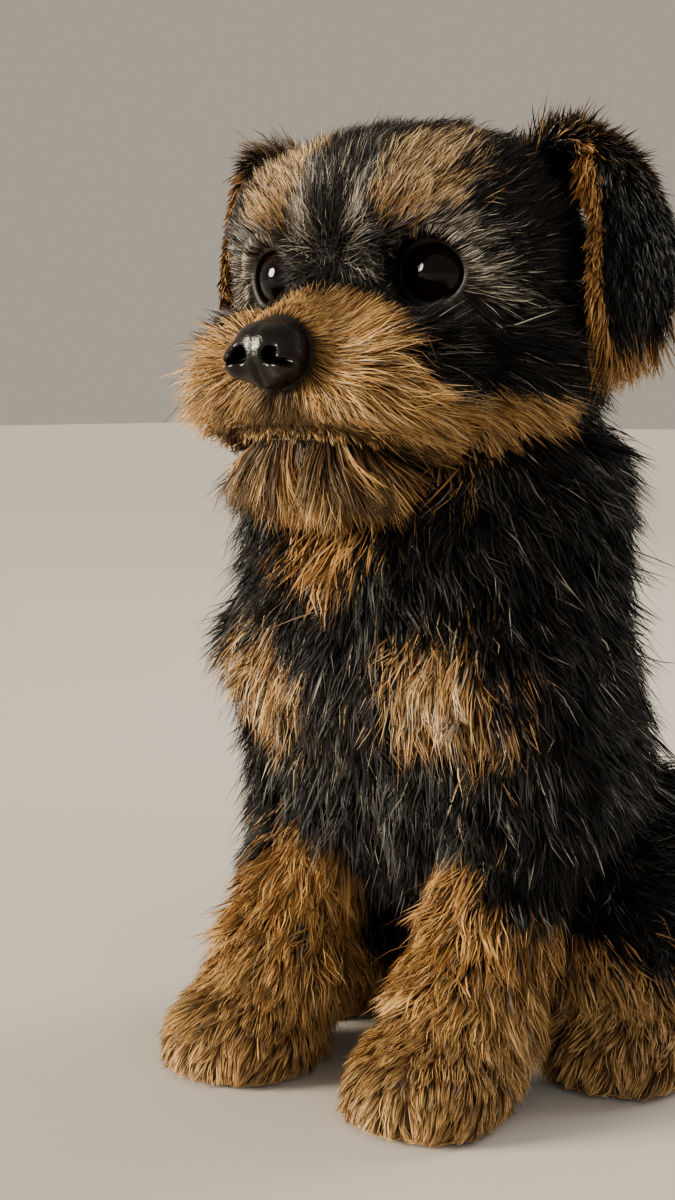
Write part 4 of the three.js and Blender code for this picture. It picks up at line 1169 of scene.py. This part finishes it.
for number, (name, rate, factor, lift0, lift1, width, droop, pull, clump, wave, chart, slot) in STYLE.items():
    use = (region == number) & ~bare
    if not use.any():
        continue
    tris = skin_t[use]
    rates = np.full(len(tris), rate * SCALE)
    if number == 0:  # finest and densest round the eyes and on the nose's bridge
        hm = h_mid[use]
        near = np.exp(-np.minimum(*[np.linalg.norm(hm - [s * 19, 0, 0.5], axis=1) for s in (-1, 1)]) ** 2 / 12 ** 2)
        near = np.maximum(near, np.exp(-np.linalg.norm(hm - [0, -26, -11], axis=1) ** 2 / 12 ** 2))
        rates *= 1 + 1.3 * near
    p, where, bary = scatter(skin_v, tris, rates)
    d, coat, g, flow, tan_share, m = field(p, True)
    n = len(p)
    flow = flow + 0.30 * np.stack([w(p) for w in (sway, sway2, sway3)], 1) + 0.22 * np.stack([w(p) for w in ruffle], 1) + 0.16 * rng.normal(size=(n, 3))
    if number < 2:  # about the eyes it runs away from them
        hh = to_head(p)
        for s in (-1, 1):
            v = hh - EYE_AT * [s, 1, 1]
            r = np.linalg.norm(v, axis=1, keepdims=True)
            flow = flow + 1.5 * np.exp(-((np.maximum(r, 8) - 8) / 4.0) ** 2) * (v / r) @ HEAD_R.T
    if number in (5, 6):  # over the toes the hair runs to the end of each toe
        away = p[:, None] - TOE_ENDS[None]
        far = np.linalg.norm(away, axis=2)
        nearest = far.argmin(1)
        least = far[np.arange(n), nearest]
        to_toe = -away[np.arange(n), nearest] / np.maximum(least, 1e-6)[:, None]
        w = (1.6 * step(19, 8, least) * step(20, 12, p[:, 2]))[:, None]
        flow = flow + w * to_toe
    comb = unit(flow - (flow * g).sum(1, keepdims=True) * g)
    h = to_head(p)
    short = np.clip(coat / 6.0, 0.25, 1)
    length = np.maximum(coat, 0.9) * factor * rng.uniform(0.72, 1.22, n)
    stray = rng.random(n) < 0.05
    length[stray] *= 1.12 if number < 2 else 1.28
    l0 = np.radians(lift0 + rng.normal(0, 9, n) + 10 * sway(p + 31))
    l1 = np.radians(lift1 + rng.normal(0, 9, n))
    l1[stray] += 0.10 if number < 2 else 0.25
    flat = np.clip(short, 0.35, 1)
    bend = 0.20 * rng.normal(size=(n, 3)) + 0.35 * np.stack([w(p + 77) for w in ruffle], 1)
    shape = (l0 * flat, l1 * flat, np.full(n, droop) * np.clip(coat / 8, 0.2, 1), bend * np.clip(coat / 8, 0.25, 1)[:, None])
    pts = curve(p, g, comb, length, *shape, wave * np.clip(coat / 7, 0.2, 1))
    if number == 0:  # the lip's hair ends at the line of the mouth
        over, under = mouth_line(h), mouth_line(to_head(pts[:, 3]))
        crossing = (over > 0) & (under < -0.6) & (h[:, 1] < 4)
        short_by = np.where(crossing, np.clip((over + 0.6) / np.maximum(over - under, 1e-6), 0.22, 1), 1)
        pts = p[:, None] + (pts - p[:, None]) * short_by[:, None, None]
    if number == 0:
        pts = off_the_eyes(pts)
    leaders = rng.random(n) < 1.0 / clump
    pts, mine = gather(pts, leaders, np.clip(pull + 0.2 * rng.normal(size=n), 0.1, 0.92) * np.where(stray, 0.4, 1))
    pts = clear_of_skin(pts, 0.35 + 0.10 * coat)
    clump_pick, own_pick = rng.random(n)[mine], rng.random(n)
    seen = pts[:, 0] * 0.4 + pts[:, 3] * 0.6  # the markings are those of where the lock shows
    root_rgb, tip_rgb = hair_colour(seen, tan_share, m, clump_pick, own_pick)
    w = width * rng.uniform(0.7, 1.3, n) * np.clip(coat / 7, 0.55, 1.05)
    w[stray] *= 0.6
    roll = rng.normal(0, 0.55, n)
    chart_uv = unwrap(p, chart)
    order = np.argsort(p[:, 0])
    if number == 0:
        order = order[~over_an_eye(pts)[order]]
    lots = np.array_split(order, max(1, math.ceil(n / 39000)))
    for i, lot in enumerate(lots):
        label = name if len(lots) == 1 else name + "_" + "abcdef"[i]
        triangles = ribbons(label, pts[lot], g[lot], w[lot], roll[lot], root_rgb[lot], tip_rgb[lot], chart_uv[lot], COAT)
        made += triangles
        print(label, "locks", len(lot), "triangles", triangles)

# the ears' own coat: short and dark outside, tan along the leading edge and the fringe, tan inside
for side, (pts0, tt, uv0, face0, flow0, spread0, normal0) in ears.items():
    corner = tt
    u_mid = uv0[corner].mean(1)
    rate = 6.0 * SCALE * np.where(u_mid[:, 0] < 0.06, 0.3, 1) * np.where(face0[corner].mean(1) > 0, 1, 0.7)
    edge = np.abs(face0[corner].mean(1)) < 0.9
    p, where, bary = scatter(pts0, tt, rate)
    idx = tt[where]
    mix = lambda a: np.einsum("ij,ijk->ik", bary, a[idx])
    uvp = mix(uv0)
    face = (bary * face0[idx]).sum(1)
    flow, spread, normal = unit(mix(flow0)), unit(mix(spread0)), mix(normal0)
    n = len(p)
    u, v = uvp.T
    rimward = np.where(v < 0.5, -1, 1) * np.clip(np.abs(v - 0.5) * 2.2 - 0.35, 0, 1)
    out = unit(spread) * rimward[:, None]
    edgy = np.linalg.norm(normal, axis=1) < 0.7
    normal = unit(np.where(edgy[:, None], normal + out * 0.8, normal))
    comb = unit(flow + 0.65 * out + 0.20 * rng.normal(size=(n, 3)) + 0.15 * np.stack([w(p) for w in ruffle], 1))
    comb = unit(comb - (comb * normal).sum(1, keepdims=True) * normal * 0.8)
    fringe = np.clip(step(0.80, 1.0, u) + 0.5 * step(0.75, 1.0, v) * step(0.3, 0.6, u) + 1.3 * step(0.50, 0.15, u) * np.where(face > 0, 1, 0), 0, 1.5)
    length = (4.6 + 4.2 * fringe) * rng.uniform(0.7, 1.25, n)
    length *= np.where(face > 0, 1, 1.35)
    length *= 1 - 0.45 * step(0.16, 0.04, v) * step(0.5, 0.65, u) * step(0.95, 0.8, u)
    wisp = (rng.random(n) < 0.10 * step(0.55, 0.2, u)) & (face > 0)
    length[wisp] *= 1.3
    l0 = np.radians(np.where(face > 0, 24, 40) + rng.normal(0, 7, n))
    l1 = np.radians(6 + rng.normal(0, 8, n))
    l0[wisp] += 0.20
    l1[wisp] += 0.25
    bend = 0.18 * rng.normal(size=(n, 3)) + 0.2 * np.stack([w(p + 77) for w in ruffle], 1)
    pts = curve(p, normal, comb, length, l0, l1, np.full(n, 0.08), bend)
    leaders = rng.random(n) < 1.0 / 9
    pts, mine = gather(pts, leaders, np.clip(0.45 + 0.2 * rng.normal(size=n), 0.1, 0.85))
    tan = ear_tan(uvp, face, p)
    clump_pick, own_pick = rng.random(n)[mine], rng.random(n)
    pick = 0.5 + 0.3 * (clump_pick - 0.5) + 0.34 * (own_pick - 0.5)
    shade = (0.55 * own_pick + 0.45 * clump_pick)[:, None]
    tip = np.tile(BLACK * 1.7, (n, 1)) * rng.uniform(0.7, 1.5, (n, 1))
    root = np.tile(BLACK, (n, 1))
    wispy = (rng.random(n) < 0.62 * step(0.60, 0.30, u)) & (face > 0)
    warm = rng.random(wispy.sum()) < 0.4
    tip[wispy] = np.where(warm[:, None], TAN, SILVER * 0.6) * rng.uniform(0.5, 1.2, (wispy.sum(), 1))
    is_tan = tan > pick
    tan_tip = BROWN + (TAN - BROWN) * np.clip(shade * 2.4, 0, 1)
    tan_tip = tan_tip + (GOLD - tan_tip) * np.clip(shade * 2.2 - 0.9, 0, 1)
    tip[is_tan], root[is_tan] = tan_tip[is_tan], (BROWN * 0.5 + (TAN - BROWN) * 0.4 * shade)[is_tan]
    w = 0.32 * rng.uniform(0.7, 1.3, n)
    chart = np.stack([0.02 + 0.46 * v + np.where(face > 0, 0, 0.5), 0.02 + 0.95 * u], 1)
    name = "coat_ear_left" if side > 0 else "coat_ear_right"
    triangles = ribbons(name, pts, normal, w, rng.normal(0, 0.5, n), root, tip, chart, COAT)
    made += triangles
    print(name, "locks", n, "triangles", triangles)


# ---------------------------------------------------------------- whiskers and long brow hairs
def whiskers():
    root, comb, length, lift, tint = [], [], [], [], []
    for s in (1, -1):
        for i in range(15):  # on the lips
            a, b = rng.uniform(0, 1), rng.uniform(0, 1)
            root.append([s * (5.5 + 9 * a), -20 + 9 * a + rng.normal(0, 1), -15 - 7 * b])
            comb.append([s * (0.9 + 0.3 * rng.normal()), 0.3 + 0.3 * rng.normal(), -0.40 + 0.15 * rng.normal()])
            length.append(rng.uniform(13, 24))
            lift.append(0.7)
        for i in range(7):  # over the eye
            root.append([s * rng.uniform(10, 20), rng.uniform(-2, 2), rng.uniform(8, 12)])
            comb.append([s * rng.uniform(0.2, 0.8), -0.2, 1])
            length.append(rng.uniform(8, 13))
            lift.append(0.8)
        for i in range(4):  # cheek
            root.append([s * 24, rng.uniform(4, 9), rng.uniform(-14, -9)])
            comb.append([s * 1.0, 0.8, -0.4])
            length.append(rng.uniform(10, 16))
            lift.append(0.6)
    for i in range(8):  # chin
        root.append([rng.uniform(-5, 5), -16, -33])
        comb.append([rng.normal(0, 0.5), -0.3, -1])
        length.append(rng.uniform(7, 12))
        lift.append(0.7)
    root = from_head(np.array(root))
    for _ in range(6):
        d, _, g, _, _, _ = field(root, True)
        root -= g * d[:, None]
    g = field(root, True)[2]
    comb = np.array(comb) @ HEAD_R.T
    comb = unit(comb - (comb * g).sum(1, keepdims=True) * g)
    n = len(root)
    pts = curve(root, g, comb, np.array(length), np.array(lift), np.array(lift) * 0.4, np.full(n, 0.25), 0.1 * rng.normal(size=(n, 3)))
    keep = ~over_an_eye(pts)
    pts, root, g = pts[keep], root[keep], g[keep]
    n = len(root)
    dark = np.tile(BLACK, (n, 1))
    pale = rng.random(n) < 0.35
    tip = np.tile(BLACK * 2, (n, 1))
    tip[pale] = GOLD * 0.8
    dark[pale] = TAN * 0.6
    # two crossed leaves to each, so that none vanishes edge-on
    ribbons("whiskers", np.concatenate([pts, pts]), np.concatenate([g, g]), np.full(2 * n, 0.20), np.repeat([0.0, math.pi / 2], n), np.tile(dark, (2, 1)), np.tile(tip, (2, 1)), np.tile(unwrap(root, "head"), (2, 1)), WHISKER, (1.0, 0.8, 0.5))


whiskers()
print("coat triangles", made)

# ---------------------------------------------------------------- stage and light
def floor():
    mesh = bpy.data.meshes.new("floor")
    s = 6.0
    mesh.from_pydata([(-s, -s, 0), (s, -s, 0), (s, s, 0), (-s, s, 0)], [], [(0, 1, 2, 3)])
    o = bpy.data.objects.new("floor", mesh)
    bpy.context.scene.collection.objects.link(o)
    m, nodes, links, shader = material("floor")
    place = nodes.new("ShaderNodeTexCoord")
    noise = nodes.new("ShaderNodeTexNoise")
    noise.inputs["Scale"].default_value = 3
    links.new(place.outputs["Object"], noise.inputs["Vector"])
    ramp = nodes.new("ShaderNodeValToRGB")
    ramp.color_ramp.elements[0].color = (0.60, 0.57, 0.53, 1)
    ramp.color_ramp.elements[1].color = (0.66, 0.63, 0.59, 1)
    links.new(noise.outputs["Fac"], ramp.inputs["Fac"])
    links.new(ramp.outputs["Color"], shader.inputs["Base Color"])
    shader.inputs["Roughness"].default_value = 0.8
    mesh.materials.append(m)


floor()


def area(name, at, aim, size, power, rgb):
    l = bpy.data.lights.new(name, "AREA")
    l.size = size
    l.energy = power
    l.color = rgb
    o = bpy.data.objects.new(name, l)
    o.location = at
    o.rotation_mode = "QUATERNION"
    o.rotation_quaternion = (Vector(aim) - Vector(at)).to_track_quat("-Z", "Y")
    bpy.context.scene.collection.objects.link(o)


def sun(name, direction, strength, spread, rgb, glossy):
    l = bpy.data.lights.new(name, "SUN")
    l.energy = strength
    l.angle = math.radians(spread)
    l.color = rgb
    o = bpy.data.objects.new(name, l)
    o.rotation_mode = "QUATERNION"
    o.rotation_quaternion = (-Vector(direction)).to_track_quat("-Z", "Y")
    o.visible_glossy = glossy
    bpy.context.scene.collection.objects.link(o)


middle = (0, -0.03, 0.13)
sun("key", (-0.60, -0.74, 0.28), 6.0, 24, (1.0, 0.89, 0.73), True)
sun("fill", (0.95, -0.65, 0.45), 0.65, 40, (0.88, 0.93, 1.0), False)
area("rim", (0.35, 0.9, 0.75), middle, 0.5, 5, (1.0, 0.95, 0.88))
world = bpy.data.worlds.new("world")
bpy.context.scene.world = world
world.use_nodes = True
world.node_tree.nodes["Background"].inputs["Color"].default_value = (0.80, 0.71, 0.60, 1)
world.node_tree.nodes["Background"].inputs["Strength"].default_value = 0.48
bpy.context.scene.view_settings.view_transform = "AgX"
bpy.context.scene.view_settings.look = "AgX - Medium High Contrast"
